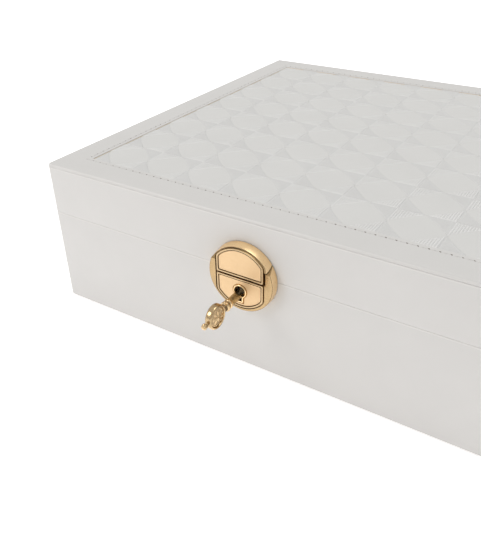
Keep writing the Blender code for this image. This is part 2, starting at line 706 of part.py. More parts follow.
def hasp_cover():
    """The lock's upper half: a dome that follows the drum, with the face plate's upper part."""
    far = 60 * MM
    cover = drum("hasp_cover", DRUM_FRONT_Y, LOCK_BACK_Y, DRUM_RADIUS, gold())
    cut(cover, slab("under_shoulders", far, -HALF - far, far - HALF, 0, SHOULDER_Z))
    plate = plate_outline("hasp_plate", PLATE_FRONT_Y, LOCK_BACK_Y, 0, far * 2, HASP_BOTTOM)
    room = drum("hasp_room", CAVITY_FRONT_Y - 0.6 * MM, -HALF + far, PLATE_RADIUS - 1.6 * MM)
    keep(room, slab("hasp_room_sides", PLATE_HALF - 1.4 * MM, -HALF - far, 2 * far - HALF,
                    HASP_BOTTOM + 1.4 * MM, far * 2))
    way = slab("hasp_hook_way", 1.4 * MM, CAVITY_FRONT_Y, far - HALF, 0, SHOULDER_Z, 4.2 * MM)
    boss = cylinder("hasp_boss", "Y", 2.3 * MM, CAVITY_FRONT_Y - 1 * MM, LOCK_BACK_Y,
                    (0, HASP_SCREW_Z), sides=16)
    hole = cylinder("hasp_boss_hole", "Y", SCREW_HOLE, CAVITY_FRONT_Y + 0.3 * MM, far - HALF,
                    (0, HASP_SCREW_Z), sides=12)
    join(cover, plate)
    cut(cover, room, way)
    join(cover, boss)
    cut(cover, hole)
    return cover


def hasp_hook():
    """The hook behind the hasp: a flange, a stem and a toe that the cam's finger holds down."""
    front = CAVITY_FRONT_Y + 0.6 * MM
    back = front + 1.4 * MM
    hook = box("hasp_hook", (3.2 * MM, front, 52.35 * MM), (5.2 * MM, back, 66 * MM), steel())
    flange = box("hook_flange", (-8 * MM, front, 60.2 * MM), (8 * MM, back, 66 * MM))
    toe = box("hook_toe", (-1.2 * MM, front, 52.35 * MM), (4 * MM, back, 53.75 * MM))
    return join(hook, flange, toe)


# ---------------------------------------------------------------- hinges

def hinge_leaf(name, centre_x, side, own):
    """One leaf: side 1 stands up on the lid, side -1 hangs on the base; own lists its knuckles."""
    low_x = centre_x - HINGE_LENGTH / 2
    face = HALF + GAP
    near = 2.4 * MM
    levels = sorted((SEAM_Z + side * near, SEAM_Z + side * LEAF_HEIGHT))
    leaf = box(name, (low_x, face, levels[0]), (low_x + HINGE_LENGTH, face + LEAF_THICK, levels[1]),
               gold())
    pitch = HINGE_LENGTH / KNUCKLES
    for number in own:
        ends = (low_x + number * pitch + GAP / 2, low_x + (number + 1) * pitch - GAP / 2)
        tab_levels = sorted((SEAM_Z + side * 0.8 * MM, SEAM_Z + side * 3 * MM))
        tab = box(name + "_tab", (ends[0], face, tab_levels[0]),
                  (ends[1], face + LEAF_THICK, tab_levels[1]))
        barrel = cylinder(name + "_knuckle", "X", KNUCKLE_RADIUS, *ends, (HINGE_AXIS_Y, SEAM_Z),
                          sides=20)
        join(leaf, tab, barrel)
    bore = cylinder(name + "_bore", "X", PIN_RADIUS + 0.25 * MM, low_x - MM,
                    low_x + HINGE_LENGTH + MM, (HINGE_AXIS_Y, SEAM_Z), sides=16)
    cut(leaf, bore)
    for offset in (-SCREW_OFFSET_X, SCREW_OFFSET_X):
        cut(leaf, screw_hole(name + "_hole", centre_x + offset, SEAM_Z + side * SCREW_OFFSET_Z, 1))
    return leaf


def hinge_screw(name, x, z):
    """A screw through a leaf into the back board."""
    return wall_screw(name, x, z, 1, HALF - 6 * MM, HALF + 2 * GAP + LEAF_THICK)


def hinges():
    """Two hinges of two leaves and a pin; returns the pieces that the lid carries."""
    carried = []
    for side, word in ((-1, "left"), (1, "right")):
        centre_x = side * HINGE_X
        hinge_leaf("hinge_%s_base_leaf" % word, centre_x, -1, (0, 2, 4))
        carried.append(hinge_leaf("hinge_%s_lid_leaf" % word, centre_x, 1, (1, 3)))
        cylinder("hinge_%s_pin" % word, "X", PIN_RADIUS, centre_x - HINGE_LENGTH / 2,
                 centre_x + HINGE_LENGTH / 2, (HINGE_AXIS_Y, SEAM_Z), steel(), 16)
        for number, offset in enumerate((-SCREW_OFFSET_X, SCREW_OFFSET_X), start=1):
            hinge_screw("hinge_%s_base_screw_%d" % (word, number), centre_x + offset,
                        SEAM_Z - SCREW_OFFSET_Z)
            carried.append(hinge_screw("hinge_%s_lid_screw_%d" % (word, number),
                                       centre_x + offset, SEAM_Z + SCREW_OFFSET_Z))
    return carried


# ---------------------------------------------------------------- whole chest

def build_base():
    base_wrap()
    base_boards()
    base_felt()
    compartment_lining()
    dividers()
    ring_rolls()
    lock_case()
    lock_face_plate()
    keyhole_ring()
    lock_screws()


def build_lid():
    hasp_screw = wall_screw("hasp_screw", 0, HASP_SCREW_Z, -1, -HALF - 2.4 * MM,
                            -BOARD_IN - 1.2 * MM)
    pieces = [lid_wrap(), lid_frame(), *lid_top(), *lid_inside(), hasp_cover(), hasp_hook(),
              hasp_screw, *hinges()]
    hang_on(axis_empty("lid_hinge", (0, HINGE_AXIS_Y, SEAM_Z)), pieces)


def build_key():
    axis = axis_empty("key_axis", (0, PLATE_FRONT_Y, KEY_Z), (KEY_DROOP, 0, 0))
    lock_cam(axis)
    key(axis)


clear_scene()
PARTS = new_collection("jewellery_chest")
CUTTERS = new_collection("cutters")
build_base()
build_lid()
build_key()
tray()
drawer(-1, "left")
drawer(1, "right")
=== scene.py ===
"""Looks of the ivory leather jewellery chest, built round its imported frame.

Metres, +Z up, in the frame's own coordinates: the front faces -Y and +X is to the right.
"""

from math import asin, atan2, copysign, cos, degrees, exp, hypot, log, pi, radians, sin, sqrt, tan

import bmesh
import bpy
import numpy as np
from mathutils import Matrix, Vector, noise


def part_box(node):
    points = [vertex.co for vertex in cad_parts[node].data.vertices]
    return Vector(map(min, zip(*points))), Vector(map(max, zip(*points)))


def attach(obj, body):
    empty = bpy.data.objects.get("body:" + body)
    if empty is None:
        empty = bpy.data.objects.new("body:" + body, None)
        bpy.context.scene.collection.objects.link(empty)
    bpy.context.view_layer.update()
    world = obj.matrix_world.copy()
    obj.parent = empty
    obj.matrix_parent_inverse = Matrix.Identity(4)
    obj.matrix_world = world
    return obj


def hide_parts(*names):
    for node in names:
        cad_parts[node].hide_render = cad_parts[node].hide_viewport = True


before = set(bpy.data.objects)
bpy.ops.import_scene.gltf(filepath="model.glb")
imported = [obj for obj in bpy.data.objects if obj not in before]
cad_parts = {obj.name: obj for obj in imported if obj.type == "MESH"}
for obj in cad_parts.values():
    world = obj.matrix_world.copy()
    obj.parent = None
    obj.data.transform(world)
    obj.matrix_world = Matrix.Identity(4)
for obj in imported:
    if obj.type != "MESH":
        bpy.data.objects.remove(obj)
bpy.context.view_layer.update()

MM = 0.001
SCENE = bpy.context.scene

# Levels and half widths, read from the frame.
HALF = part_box("lid_wrap")[1].x
RIM_INSET = HALF - 121.7 * MM  # how far the leather folds in over the rims
BASE_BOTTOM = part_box("base_wrap")[0].z
BASE_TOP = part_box("base_wrap")[1].z
LID_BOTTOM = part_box("lid_wrap")[0].z
LID_WRAP_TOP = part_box("lid_wrap")[1].z
SKIRT_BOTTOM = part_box("lid_top_leather")[0].z
LID_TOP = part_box("lid_top_leather")[1].z
SKIRT_LIP = SKIRT_BOTTOM - 0.13 * MM  # the top layer's lower edge, drawn in over the groove
GROOVE_DEPTH = 0.215 * MM
LEATHER = 1 * MM
HEM = 0.4 * MM  # rounding of the leather where it folds out of sight
LIP = 0.25 * MM  # rounding of the leather beside the groove
CORNER_RADIUS = 2 * MM
EDGE_RADIUS = 0.24 * MM
HIGHLIGHT_BAND = 0.9 * MM  # height of the painted highlight, a band of paler leather colour along an edge
SEAM_CLOSE = 0.19 * MM  # how far each leather edge swells into the seam

# Lid top: frame, stitch row and embossed tiles.
OPENING = HALF - 18 * MM
TOP_EDGE_RADIUS = 1.7 * MM
STITCH_INSET = 15.6 * MM
STITCH_PITCH = 4.82 * MM
SEAM_HALF = HALF - STITCH_INSET
STITCH_BAND = 0.9 * MM  # half width of the strip that holds the needle holes
TILES = 8
TILE = 2 * OPENING / TILES
FIELD_Z = LID_TOP - 0.75 * MM
FINISHED_EDGE = 0.42 * MM  # coated part of the opening's edge, above the raw part
DOME_HEIGHT = 0.3 * MM
DOME_POWER = 1.12  # between a diamond (1) and a circle (2)
RIB_HEIGHT = 0.48 * MM
RIB_FADE = 1.0 * MM  # how far a rib takes to sink away at its ends
RIBS_PER_HALF_TILE = 11

# Lock, as a round drum seen along Y.
LOCK_Z = 57 * MM
DRUM_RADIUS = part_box("lock_case")[1].x
DRUM_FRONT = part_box("lock_case")[0].y
LOCK_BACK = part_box("lock_case")[1].y
PLATE_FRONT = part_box("lock_face_plate")[0].y
PLATE_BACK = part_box("lock_face_plate")[1].y
PLATE_FACE = PLATE_FRONT + 0.45 * MM  # the flat middle of a face plate
PLATE_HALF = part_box("lock_face_plate")[1].x - 0.6 * MM
PLATE_RADIUS = 16.6 * MM
LOW_PLATE_RADIUS = 16.0 * MM
DOME_TAPER = 0.9 * MM  # how much slimmer the dome is at its front edge
SHOULDER_TAPER = 2.1 * MM  # the same, down at its shoulders
SPLIT_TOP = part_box("lock_face_plate")[1].z - LOCK_Z
HASP_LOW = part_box("hasp_cover")[0].z - LOCK_Z
SHOULDER = 7.3 * MM
SHOULDER_RISE = 2.8 * MM  # how far the shoulders climb from the front edge back
EAR_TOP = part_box("lock_case")[1].z - LOCK_Z
CAVITY_FRONT = -HALF - 3 * MM
CAVITY_BACK = -HALF + 5 * MM
LOCK_WALL = 1.4 * MM
LOCK_CREASE = 32  # in degrees: the lock's edges over this stay sharp
KEYHOLE_Z = 50.05 * MM
KEYHOLE_RADIUS = 3 * MM
KEYHOLE_SLOT_HALF = 1.2 * MM
KEYHOLE_DROP = 5.65 * MM  # from the round hole's centre to the slot's foot

# Key, along its own axis.
KEY_PLACE = Matrix.Translation((0, PLATE_FRONT, 49.05 * MM)) @ Matrix.Rotation(
    radians(2.5), 4, "X")
BOW_RADIUS = 7 * MM
BOW_SHARE = 0.9  # how much of its full outline the bow fills
BOW_HALF = 1.8 * MM
BOW_CENTRE = 21 * MM


# ---- materials

def principled(name, roughness, metallic=0.0, **sockets):
    """A Principled material; each extra value goes straight to the socket of that name."""
    made = bpy.data.materials.new(name)
    made.use_nodes = True
    shader = made.node_tree.nodes["Principled BSDF"]
    shader.inputs["Roughness"].default_value = roughness
    shader.inputs["Metallic"].default_value = metallic
    for socket, value in sockets.items():
        shader.inputs[socket.replace("_", " ")].default_value = value
    return made


def place_socket(made):
    """Object coordinates, in metres."""
    tree = made.node_tree
    found = tree.nodes.get("place") or tree.nodes.new("ShaderNodeTexCoord")
    found.name = "place"
    return found.outputs["Object"]


def noise_texture(made, size, detail=3.0, stretch=(1, 1, 1), roughness=0.5):
    """Noise with features of about the given size; a stretch above 1 shortens them on that axis."""
    tree = made.node_tree
    mapping = tree.nodes.new("ShaderNodeMapping")
    mapping.inputs["Scale"].default_value = stretch
    tree.links.new(place_socket(made), mapping.inputs["Vector"])
    texture = tree.nodes.new("ShaderNodeTexNoise")
    texture.inputs["Scale"].default_value = 1 / size
    texture.inputs["Detail"].default_value = detail
    texture.inputs["Roughness"].default_value = roughness
    tree.links.new(mapping.outputs["Vector"], texture.inputs["Vector"])
    return texture.outputs["Fac"]


def cell_texture(made, size):
    """Distance within Voronoi cells of about the given size."""
    tree = made.node_tree
    texture = tree.nodes.new("ShaderNodeTexVoronoi")
    texture.inputs["Scale"].default_value = 1 / size
    tree.links.new(place_socket(made), texture.inputs["Vector"])
    return texture.outputs["Distance"]


def ramp(made, factor, stops):
    """Lead a factor through a colour ramp of (position, colour) stops to the base colour."""
    tree = made.node_tree
    node = tree.nodes.new("ShaderNodeValToRGB")
    elements = node.color_ramp.elements
    while len(elements) < len(stops):
        elements.new(0.5)
    for element, (position, colour) in zip(elements, stops):
        element.position = position
        element.color = (*colour, 1)
    tree.links.new(factor, node.inputs["Fac"])
    tree.links.new(node.outputs["Color"], tree.nodes["Principled BSDF"].inputs["Base Color"])


def mottle(made, factor, colour, amount, low=0.3, high=0.7):
    """Darken the base colour by a share where the factor is low, and lighten it where high."""
    dark = tuple(c * (1 - amount) for c in colour)
    light = tuple(min(1.0, c * (1 + amount)) for c in colour)
    ramp(made, factor, [(low, dark), (high, light)])


def spread(made, factor, low, high):
    """Map a factor's middle range to a range of roughness."""
    tree = made.node_tree
    node = tree.nodes.new("ShaderNodeMapRange")
    limits = {"From Min": 0.3, "From Max": 0.7, "To Min": low, "To Max": high}
    for socket, value in limits.items():
        node.inputs[socket].default_value = value
    tree.links.new(factor, node.inputs["Value"])
    tree.links.new(node.outputs["Result"], tree.nodes["Principled BSDF"].inputs["Roughness"])


def relief(made, height, depth, strength):
    """Add one more layer of bump, on top of the layers before it."""
    tree = made.node_tree
    shader = tree.nodes["Principled BSDF"]
    bump = tree.nodes.new("ShaderNodeBump")
    bump.inputs["Distance"].default_value = depth
    bump.inputs["Strength"].default_value = strength
    tree.links.new(height, bump.inputs["Height"])
    before = shader.inputs["Normal"].links
    if before:
        tree.links.new(before[0].from_socket, bump.inputs["Normal"])
    tree.links.new(bump.outputs["Normal"], shader.inputs["Normal"])


def leather(name, colour, grain=0.55 * MM, depth=0.03 * MM, roughness=0.46):
    """Smooth coated leather: fine pebble grain, soft waves of the hide and faint clouding."""
    made = principled(name, roughness, Specular_IOR_Level=0.42)
    mottle(made, noise_texture(made, 22 * MM, 4), colour, 0.012)
    spread(made, noise_texture(made, 5 * MM, 4), roughness - 0.05, roughness + 0.06)
    relief(made, noise_texture(made, 14 * MM, 2), 0.25 * MM, 0.25)
    relief(made, noise_texture(made, 1.6 * MM, 3), 0.04 * MM, 0.35)
    relief(made, cell_texture(made, grain), depth, 0.5)
    return made


def brushed_metal(name, colour, low, high, wear=0.05, stretch=(1, 1, 1), dents=0.01 * MM):
    """Plated metal with uneven polish, hairlines and a slight change of tone."""
    made = principled(name, (low + high) / 2, 1.0)
    mottle(made, noise_texture(made, 7 * MM, 3), colour, wear)
    spread(made, noise_texture(made, 1.2 * MM, 5, stretch), low, high)
    relief(made, noise_texture(made, 0.25 * MM, 2, stretch), dents, 0.2)
    return made


def pile(name, colour, nap, sheen, variation=0.1):
    """Velvet or felt: a fine upright pile with brushed patches and a soft sheen."""
    made = principled(name, 0.95, Sheen_Weight=sheen, Sheen_Roughness=0.35,
                      Specular_IOR_Level=0.1)
    mottle(made, noise_texture(made, 16 * MM, 5, roughness=0.65), colour, variation)
    relief(made, noise_texture(made, nap * 6, 3), 0.3 * MM, 0.3)
    relief(made, noise_texture(made, nap, 2), 0.15 * MM, 0.6)
    return made


def raw_board(name):
    """Pressed fibre board: pale fibres and darker specks."""
    made = principled(name, 0.85, Specular_IOR_Level=0.2)
    fibres = noise_texture(made, 1.1 * MM, 6, (1, 6, 3), 0.7)
    ramp(made, fibres, [(0.25, (0.23, 0.15, 0.085)), (0.5, (0.38, 0.28, 0.18)),
                        (0.75, (0.5, 0.39, 0.27))])
    relief(made, fibres, 0.1 * MM, 0.5)
    return made


def raw_edge(name):
    """The cut edge of the leather: pale tan fibres."""
    made = principled(name, 0.8, Specular_IOR_Level=0.2)
    fibres = noise_texture(made, 0.6 * MM, 5, (1, 1, 3), 0.7)
    ramp(made, fibres, [(0.3, (0.8, 0.65, 0.46)), (0.7, (0.92, 0.8, 0.63))])
    relief(made, fibres, 0.08 * MM, 0.6)
    return made


def thread_twist(name, colour):
    """Polished sewing thread with its twist."""
    made = principled(name, 0.5, Sheen_Weight=0.2)
    strands = noise_texture(made, 0.3 * MM, 3, (2, 2, 1))
    mottle(made, strands, colour, 0.06, 0.35, 0.65)
    relief(made, strands, 0.05 * MM, 0.6)
    return made


def mirror_face(name):
    """Silvered glass with a trace of dust."""
    made = principled(name, 0.03, 1.0)
    dust = noise_texture(made, 9 * MM, 6, roughness=0.7)
    ramp(made, dust, [(0.3, (0.86, 0.88, 0.88)), (0.7, (0.92, 0.93, 0.93))])
    spread(made, dust, 0.01, 0.07)
    return made


IVORY = (0.675, 0.658, 0.638)
LEATHER_SKIN = leather("ivory_leather", IVORY)
# Paler leather colour along rounded edges and beside the groove: a painted highlight where the key
# light catches them.
EDGE_HIGHLIGHT_LEATHER = leather("leather_painted_edge_highlight", (0.725, 0.706, 0.683), roughness=0.38)
LEATHER_TILE = leather("tile_leather", (0.685, 0.675, 0.655), 0.5 * MM, 0.02 * MM, 0.4)
# Two copies of the rib leather: a lighter, glossier one for ribs along Y, a painted highlight, and a
# darker one for ribs along X, painted shade, as the light falls across them.
RIB_LEATHER_PAINTED_SHADE = leather("rib_leather", (0.674, 0.667, 0.653), 0.5 * MM, 0.015 * MM, 0.42)
RIB_LEATHER_PAINTED_HIGHLIGHT = leather("rib_gloss_and_painted_highlight", (0.748, 0.738, 0.722), 0.5 * MM, 0.015 * MM, 0.34)
# Near black: painted shade inside the shallow needle holes.
HOLE_SHADE_LEATHER = leather("painted_hole_shade", (0.16, 0.13, 0.1), 0.3 * MM, 0.02 * MM, 0.8)
CUT_EDGE = raw_edge("raw_leather_edge")
THREAD = thread_twist("ivory_thread", (0.66, 0.645, 0.62))
GOLD = brushed_metal("polished_gold", (0.93, 0.665, 0.365), 0.12, 0.2)
GOLD_SATIN = brushed_metal("satin_gold", (0.98, 0.71, 0.4), 0.26, 0.38, 0.03, (6, 1, 6))
GOLD_RING = brushed_metal("ring_gold", (0.53, 0.37, 0.195), 0.24, 0.36, 0.06)
GOLD_RIM = brushed_metal("rim_gold", (0.6, 0.44, 0.26), 0.25, 0.38, 0.08)
# Darker gold for the plates' sides, the ears' cut tops and the keyhole's walls: painted shade in the
# gaps and the hole.
GOLD_SIDE_SHADE = brushed_metal("plate_side_painted_shade", (0.46, 0.31, 0.15), 0.25, 0.4, 0.15)
GOLD_FACE = brushed_metal("face_gold", (0.775, 0.56, 0.335), 0.46, 0.54, 0.02)
GOLD_KEY = brushed_metal("key_gold", (0.66, 0.475, 0.265), 0.12, 0.3, 0.32, dents=0.05 * MM)
GOLD_SHAFT = brushed_metal("key_shaft_gold", (0.5, 0.41, 0.25), 0.14, 0.3, 0.35, dents=0.03 * MM)
# Dark brown gold: patina in the grooves of the plates and the key, and painted shade on the drum's
# rounded front edge, the walls of the plates' beds and the undersides of the dome's shoulders.
GOLD_PATINA_AND_SHADE = brushed_metal("gold_patina_and_painted_shade", (0.24, 0.16, 0.085), 0.35, 0.55, 0.2)
STEEL = brushed_metal("steel", (0.56, 0.56, 0.57), 0.25, 0.4)
VELVET = pile("cream_velvet", (0.56, 0.48, 0.385), 0.35 * MM, 0.5)
FELT = pile("grey_felt", (0.3, 0.29, 0.28), 0.6 * MM, 0.2, 0.18)
BOARD = raw_board("fibre_board")
MIRROR = mirror_face("mirror_silver")
PLAIN_LOOKS = {"ivory_leather": LEATHER_SKIN, "fibre_board": BOARD, "cream_velvet": VELVET,
               "grey_felt": FELT, "gold_plate": GOLD, "steel": STEEL}


# ---- mesh helpers

def new_object(name, data):
    """Put a mesh, a light or a camera into the scene."""
    item = bpy.data.objects.new(name, data)
    SCENE.collection.objects.link(item)
    return item


def add_mesh(name, points, faces, materials, face_slots=None, smooth=40):
    """A new mesh object, shaded smooth except over edges sharper than the given angle."""
    mesh = bpy.data.meshes.new(name)
    mesh.from_pydata([tuple(point) for point in points], [], faces)
    for material in materials:
        mesh.materials.append(material)
    if face_slots is not None:
        mesh.polygons.foreach_set("material_index", face_slots)
    item = new_object(name, mesh)
    shade(item, smooth)
    return item


def shade(item, angle):
    """Smooth shading, with edges over the given angle kept sharp."""
    item.data.shade_smooth()
    item.data.set_sharp_from_angle(angle=radians(angle))


def face_outward(item):
    """Turn the faces of a closed mesh outward."""
    mesh = bmesh.new()
    mesh.from_mesh(item.data)
    bmesh.ops.recalc_face_normals(mesh, faces=mesh.faces)
    mesh.to_mesh(item.data)
    mesh.free()


def settle(item):
    """Bake the object's modifiers into its mesh."""
    graph = bpy.context.evaluated_depsgraph_get()
    graph.update()
    baked = bpy.data.meshes.new_from_object(item.evaluated_get(graph))
    item.modifiers.clear()
    item.data = baked


def turn_angles(count, offset=0.0):
    """Evenly spaced angles once round, from an offset of that many steps."""
    return [2 * pi * (i + offset) / count for i in range(count)]


def tube_faces(first, rings, size, closed=False):
    """Quads between rings of points laid one after another, counted from the first point."""
    faces = []
    for band in range(rings if closed else rings - 1):
        here = first + band * size
        there = first + (band + 1) % rings * size
        for k in range(size):
            after = (k + 1) % size
            faces.append((here + k, here + after, there + after, there + k))
    return faces


def grid_faces(first, rows, columns):
    """Quads over a grid of points laid row by row, counted from the first point."""
    faces = []
    for row in range(rows - 1):
        for column in range(columns - 1):
            here = first + row * columns + column
            faces.append((here, here + 1, here + 1 + columns, here + columns))
    return faces


def loft(name, rings, materials, closed=False, capped=False, band_slots=None, cap_slot=0,
         smooth=40):
    """Join rings of equal length with quads, round and round; closed joins the last to the first."""
    size = len(rings[0])
    points = [point for ring in rings for point in ring]
    faces = tube_faces(0, len(rings), size, closed)
    slots = [band_slots[k // size] if band_slots else 0 for k in range(len(faces))]
    if capped:
        faces.append(tuple(reversed(range(size))))
        faces.append(tuple(range((len(rings) - 1) * size, len(rings) * size)))
        slots += [cap_slot, cap_slot]
    item = add_mesh(name, points, faces, materials, slots, smooth)
    face_outward(item)
    return item


def dress(item, body, slot, *nodes):
    """Let a piece ride on a body and stand for CAD nodes; the slot is not used."""
    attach(item, body)
    if nodes:
        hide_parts(*nodes)
    return item


def arc(centre_a, centre_b, radius, first, last, steps=6):
    """Points of an arc in a plane, between two angles in degrees."""
    angles = [radians(first + (last - first) * i / steps) for i in range(steps + 1)]
    return [(centre_a + radius * cos(a), centre_b + radius * sin(a)) for a in angles]


def square_ring(inset, z, radius=CORNER_RADIUS, side_steps=24, corner_steps=10, half=HALF):
    """Points once round a square with rounded corners, pulled in from the outer face by inset."""
    corner = max(radius - inset, 0.15 * MM)
    reach = half - inset - corner
    ring = []
    for quarter in range(4):
        centre_x = reach if quarter in (0, 3) else -reach
        centre_y = reach if quarter in (0, 1) else -reach
        arc_points = arc(centre_x, centre_y, corner, 90 * quarter, 90 * quarter + 90, corner_steps)
        ring += arc_points
        ahead = Matrix.Rotation(pi / 2, 2) @ Vector(arc_points[0])
        start = Vector(arc_points[-1])
        ring += [tuple(start.lerp(ahead, i / side_steps)) for i in range(1, side_steps)]
    return [(x, y, z) for x, y in ring]


def in_mm(level, *pairs):
    """A profile from pairs of millimetres, the second of each pair measured from a level."""
    return [(a * MM, level + b * MM) for a, b in pairs]


def marked(count, first, last):
    """Material slots for a profile's bands: 1 from the first up to the last, else 0."""
    return [1 if first <= band < last else 0 for band in range(count)]


def square_sweep(name, profile, materials, band_slots=None, **shape):
    """Sweep a closed (inset, z) profile round the chest's square plan."""
    rings = [square_ring(inset, z, **shape) for inset, z in profile]
    return loft(name, rings, materials, closed=True, band_slots=band_slots)


def cutter_box(low, high):
    """A plain block to cut with."""
    low = Vector(low)
    high = Vector(high)
    bpy.ops.mesh.primitive_cube_add(size=1, location=(0, 0, 0))
    item = bpy.context.object
    item.data.transform(Matrix.Translation((low + high) / 2)
                        @ Matrix.Diagonal((*(high - low), 1)))
    return item


def carve(item, cutters):
    """Take closed shapes out of a piece, and remove them."""
    for cutter in cutters:
        boolean = item.modifiers.new("carve", "BOOLEAN")
        boolean.object = cutter
        boolean.material_mode = "TRANSFER"
    settle(item)
    for cutter in cutters:
        bpy.data.objects.remove(cutter)


def round_edges(item, width, segments=3, angle=35):
    """Round every edge over the given angle."""
    bevel = item.modifiers.new("rounded", "BEVEL")
    bevel.width = width
    bevel.segments = segments
    bevel.limit_method = "ANGLE"
    bevel.angle_limit = radians(angle)
    settle(item)
    shade(item, 40)


def rounded_copy(node, body, slot, width, segments=3):
    """A CAD node's shape again, with its edges rounded."""
    mesh = bmesh.new()
    mesh.from_mesh(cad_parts[node].data)
    bmesh.ops.remove_doubles(mesh, verts=mesh.verts, dist=0.002 * MM)
    bmesh.ops.dissolve_limit(mesh, angle_limit=radians(1), verts=mesh.verts,
                             edges=mesh.edges)
    data = bpy.data.meshes.new(node + "_finish")
    mesh.to_mesh(data)
    mesh.free()
    data.materials.clear()
    data.materials.append(PLAIN_LOOKS[slot])
    item = new_object(node + "_finish", data)
    round_edges(item, width, segments)
    return dress(item, body, slot, node)


def turned(name, profile, place, materials, steps=48, lobes=0, lobe_depth=0.0, band_slots=None):
    """A turned piece: profile is (radius, height) along the +Z of the given placing matrix."""
    rings = []
    for radius, height in profile:
        ring = []
        for angle in turn_angles(steps):
            reach = radius * (1 - lobe_depth * abs(sin(angle * lobes / 2)) ** 3)
            ring.append(place @ Vector((reach * cos(angle), reach * sin(angle), height)))
        rings.append(ring)
    return loft(name, rings, materials, capped=True, band_slots=band_slots)


def smooth_profile(points, steps=5):
    """A smooth line through (radius, height) points, as a Catmull-Rom spline."""
    line = []
    padded = [points[0], *points, points[-1]]
    for i in range(1, len(padded) - 2):
        p0, p1, p2, p3 = (Vector(padded[k]) for k in (i - 1, i, i + 1, i + 2))
        for step in range(steps):
            t = step / steps
            line.append(tuple(0.5 * (2 * p1 + (p2 - p0) * t + (2 * p0 - 5 * p1 + 4 * p2 - p3) * t * t
                                     + (3 * p1 - p0 - 3 * p2 + p3) * t ** 3)))
    return [*line, points[-1]]


def joined(name, pieces):
    """Several mesh objects made into one."""
    bpy.ops.object.select_all(action="DESELECT")
    for piece in pieces:
        piece.select_set(True)
    bpy.context.view_layer.objects.active = pieces[0]
    bpy.ops.object.join()
    pieces[0].name = name
    return pieces[0]


# ---- leather skins

def base_skin():
    """The base's leather: up the sides, over a soft edge and in across the rim."""
    r = EDGE_RADIUS
    top = BASE_TOP + SEAM_CLOSE
    profile = [*arc(HEM, BASE_BOTTOM + HEM, HEM, 270, 180, 3),
               (0, top - HIGHLIGHT_BAND), *arc(r, top - r, r, 180, 90),
               *arc(RIM_INSET - HEM, top - HEM, HEM, 90, 0, 3),
               (RIM_INSET, top - LEATHER), (LEATHER, top - LEATHER), (LEATHER, BASE_BOTTOM)]
    # The bands marked here, up over the top edge, get the painted edge highlight.
    skin = square_sweep("base_leather", profile, [LEATHER_SKIN, EDGE_HIGHLIGHT_LEATHER],
                        marked(len(profile), 4, 11))
    low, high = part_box("drawer_left_front")
    gap = 0.4 * MM
    past = HALF + MM
    windows = cutter_box((-past, low.y - gap, low.z - gap), (past, high.y + gap, high.z + gap))
    carve(skin, [windows])
    round_edges(skin, 0.3 * MM, 2, 60)
    return dress(skin, "base", "ivory_leather", "base_wrap")


def lid_skin():
    """The lid's leather: in across the rim, over a soft edge and up to a shallow groove."""
    r = EDGE_RADIUS
    low = LID_BOTTOM - SEAM_CLOSE
    top = LID_WRAP_TOP + 0.13 * MM
    bed_top = SKIRT_LIP - 0.01 * MM
    profile = [*arc(r, low + r, r, 270, 180), (0, top - HIGHLIGHT_BAND),
               *arc(LIP, top - LIP, LIP, 180, 90, 4),
               (GROOVE_DEPTH, top), (GROOVE_DEPTH, bed_top), (LEATHER, bed_top),
               (LEATHER, low + LEATHER), (RIM_INSET, low + LEATHER),
               *arc(RIM_INSET - HEM, low + HEM, HEM, 0, -90, 3)]
    # The bands marked here, up the lip beside the groove, get the painted edge highlight.
    skin = square_sweep("lid_leather", profile, [LEATHER_SKIN, EDGE_HIGHLIGHT_LEATHER],
                        marked(len(profile), 7, 12))
    return dress(skin, "lid", "ivory_leather", "lid_wrap")


def pleat_corners(item):
    """Pinch a small fold into each corner of the lid's top layer."""
    reach = HALF - CORNER_RADIUS
    for vertex in item.data.vertices:
        x, y, z = vertex.co
        side_x = abs(x) - reach
        side_y = abs(y) - reach
        if min(side_x, side_y) <= 0 or z < SKIRT_BOTTOM + 0.3 * MM:
            continue
        off_middle = abs(degrees(atan2(side_y, side_x)) - 45)
        depth = 0.45 * MM * max(0.0, 1 - off_middle / 9)
        vertex.co.x -= copysign(depth, x)
        vertex.co.y -= copysign(depth, y)


def top_leather():
    """The lid's top layer: a skirt, a soft outer edge, a flat frame and a raw cut inner edge."""
    r = TOP_EDGE_RADIUS
    top = LID_TOP
    under = top - LEATHER
    seam_outside = STITCH_INSET - STITCH_BAND
    seam_inside = STITCH_INSET + STITCH_BAND
    outer = [(seam_outside, under), (LEATHER, under), (LEATHER, SKIRT_LIP),
             *arc(LIP, SKIRT_LIP + LIP, LIP, 270, 180, 3), *arc(r, top - r, r, 180, 90, 8),
             (seam_outside, top)]
    # The bands marked here, round the skirt's lip, the skirt and the lower half of the outer
    # rounding, get the painted edge highlight.
    outside = square_sweep("top_leather_outside", outer, [LEATHER_SKIN, EDGE_HIGHLIGHT_LEATHER],
                           marked(len(outer), 2, 11), corner_steps=20)
    pleat_corners(outside)
    cut = 0.3 * MM
    opening = HALF - OPENING
    inner = [(seam_inside, top), *arc(opening - cut, top - cut, cut, 90, 0, 4),
             (opening, top - FINISHED_EDGE), (opening, under), (seam_inside, under)]
    raw_band = len(inner) - 3
    inside = square_sweep("top_leather_inside", inner, [LEATHER_SKIN, CUT_EDGE],
                          marked(len(inner), raw_band, raw_band + 1))
    item = joined("lid_top_leather_skin", [outside, inside, stitch_strip()])
    return dress(item, "lid", "ivory_leather", "lid_top_leather")


def hole_distances(along, start):
    """How far points along a seam are from the nearest needle hole."""
    phase = (along - start) / STITCH_PITCH
    return np.abs(phase - np.round(phase)) * STITCH_PITCH


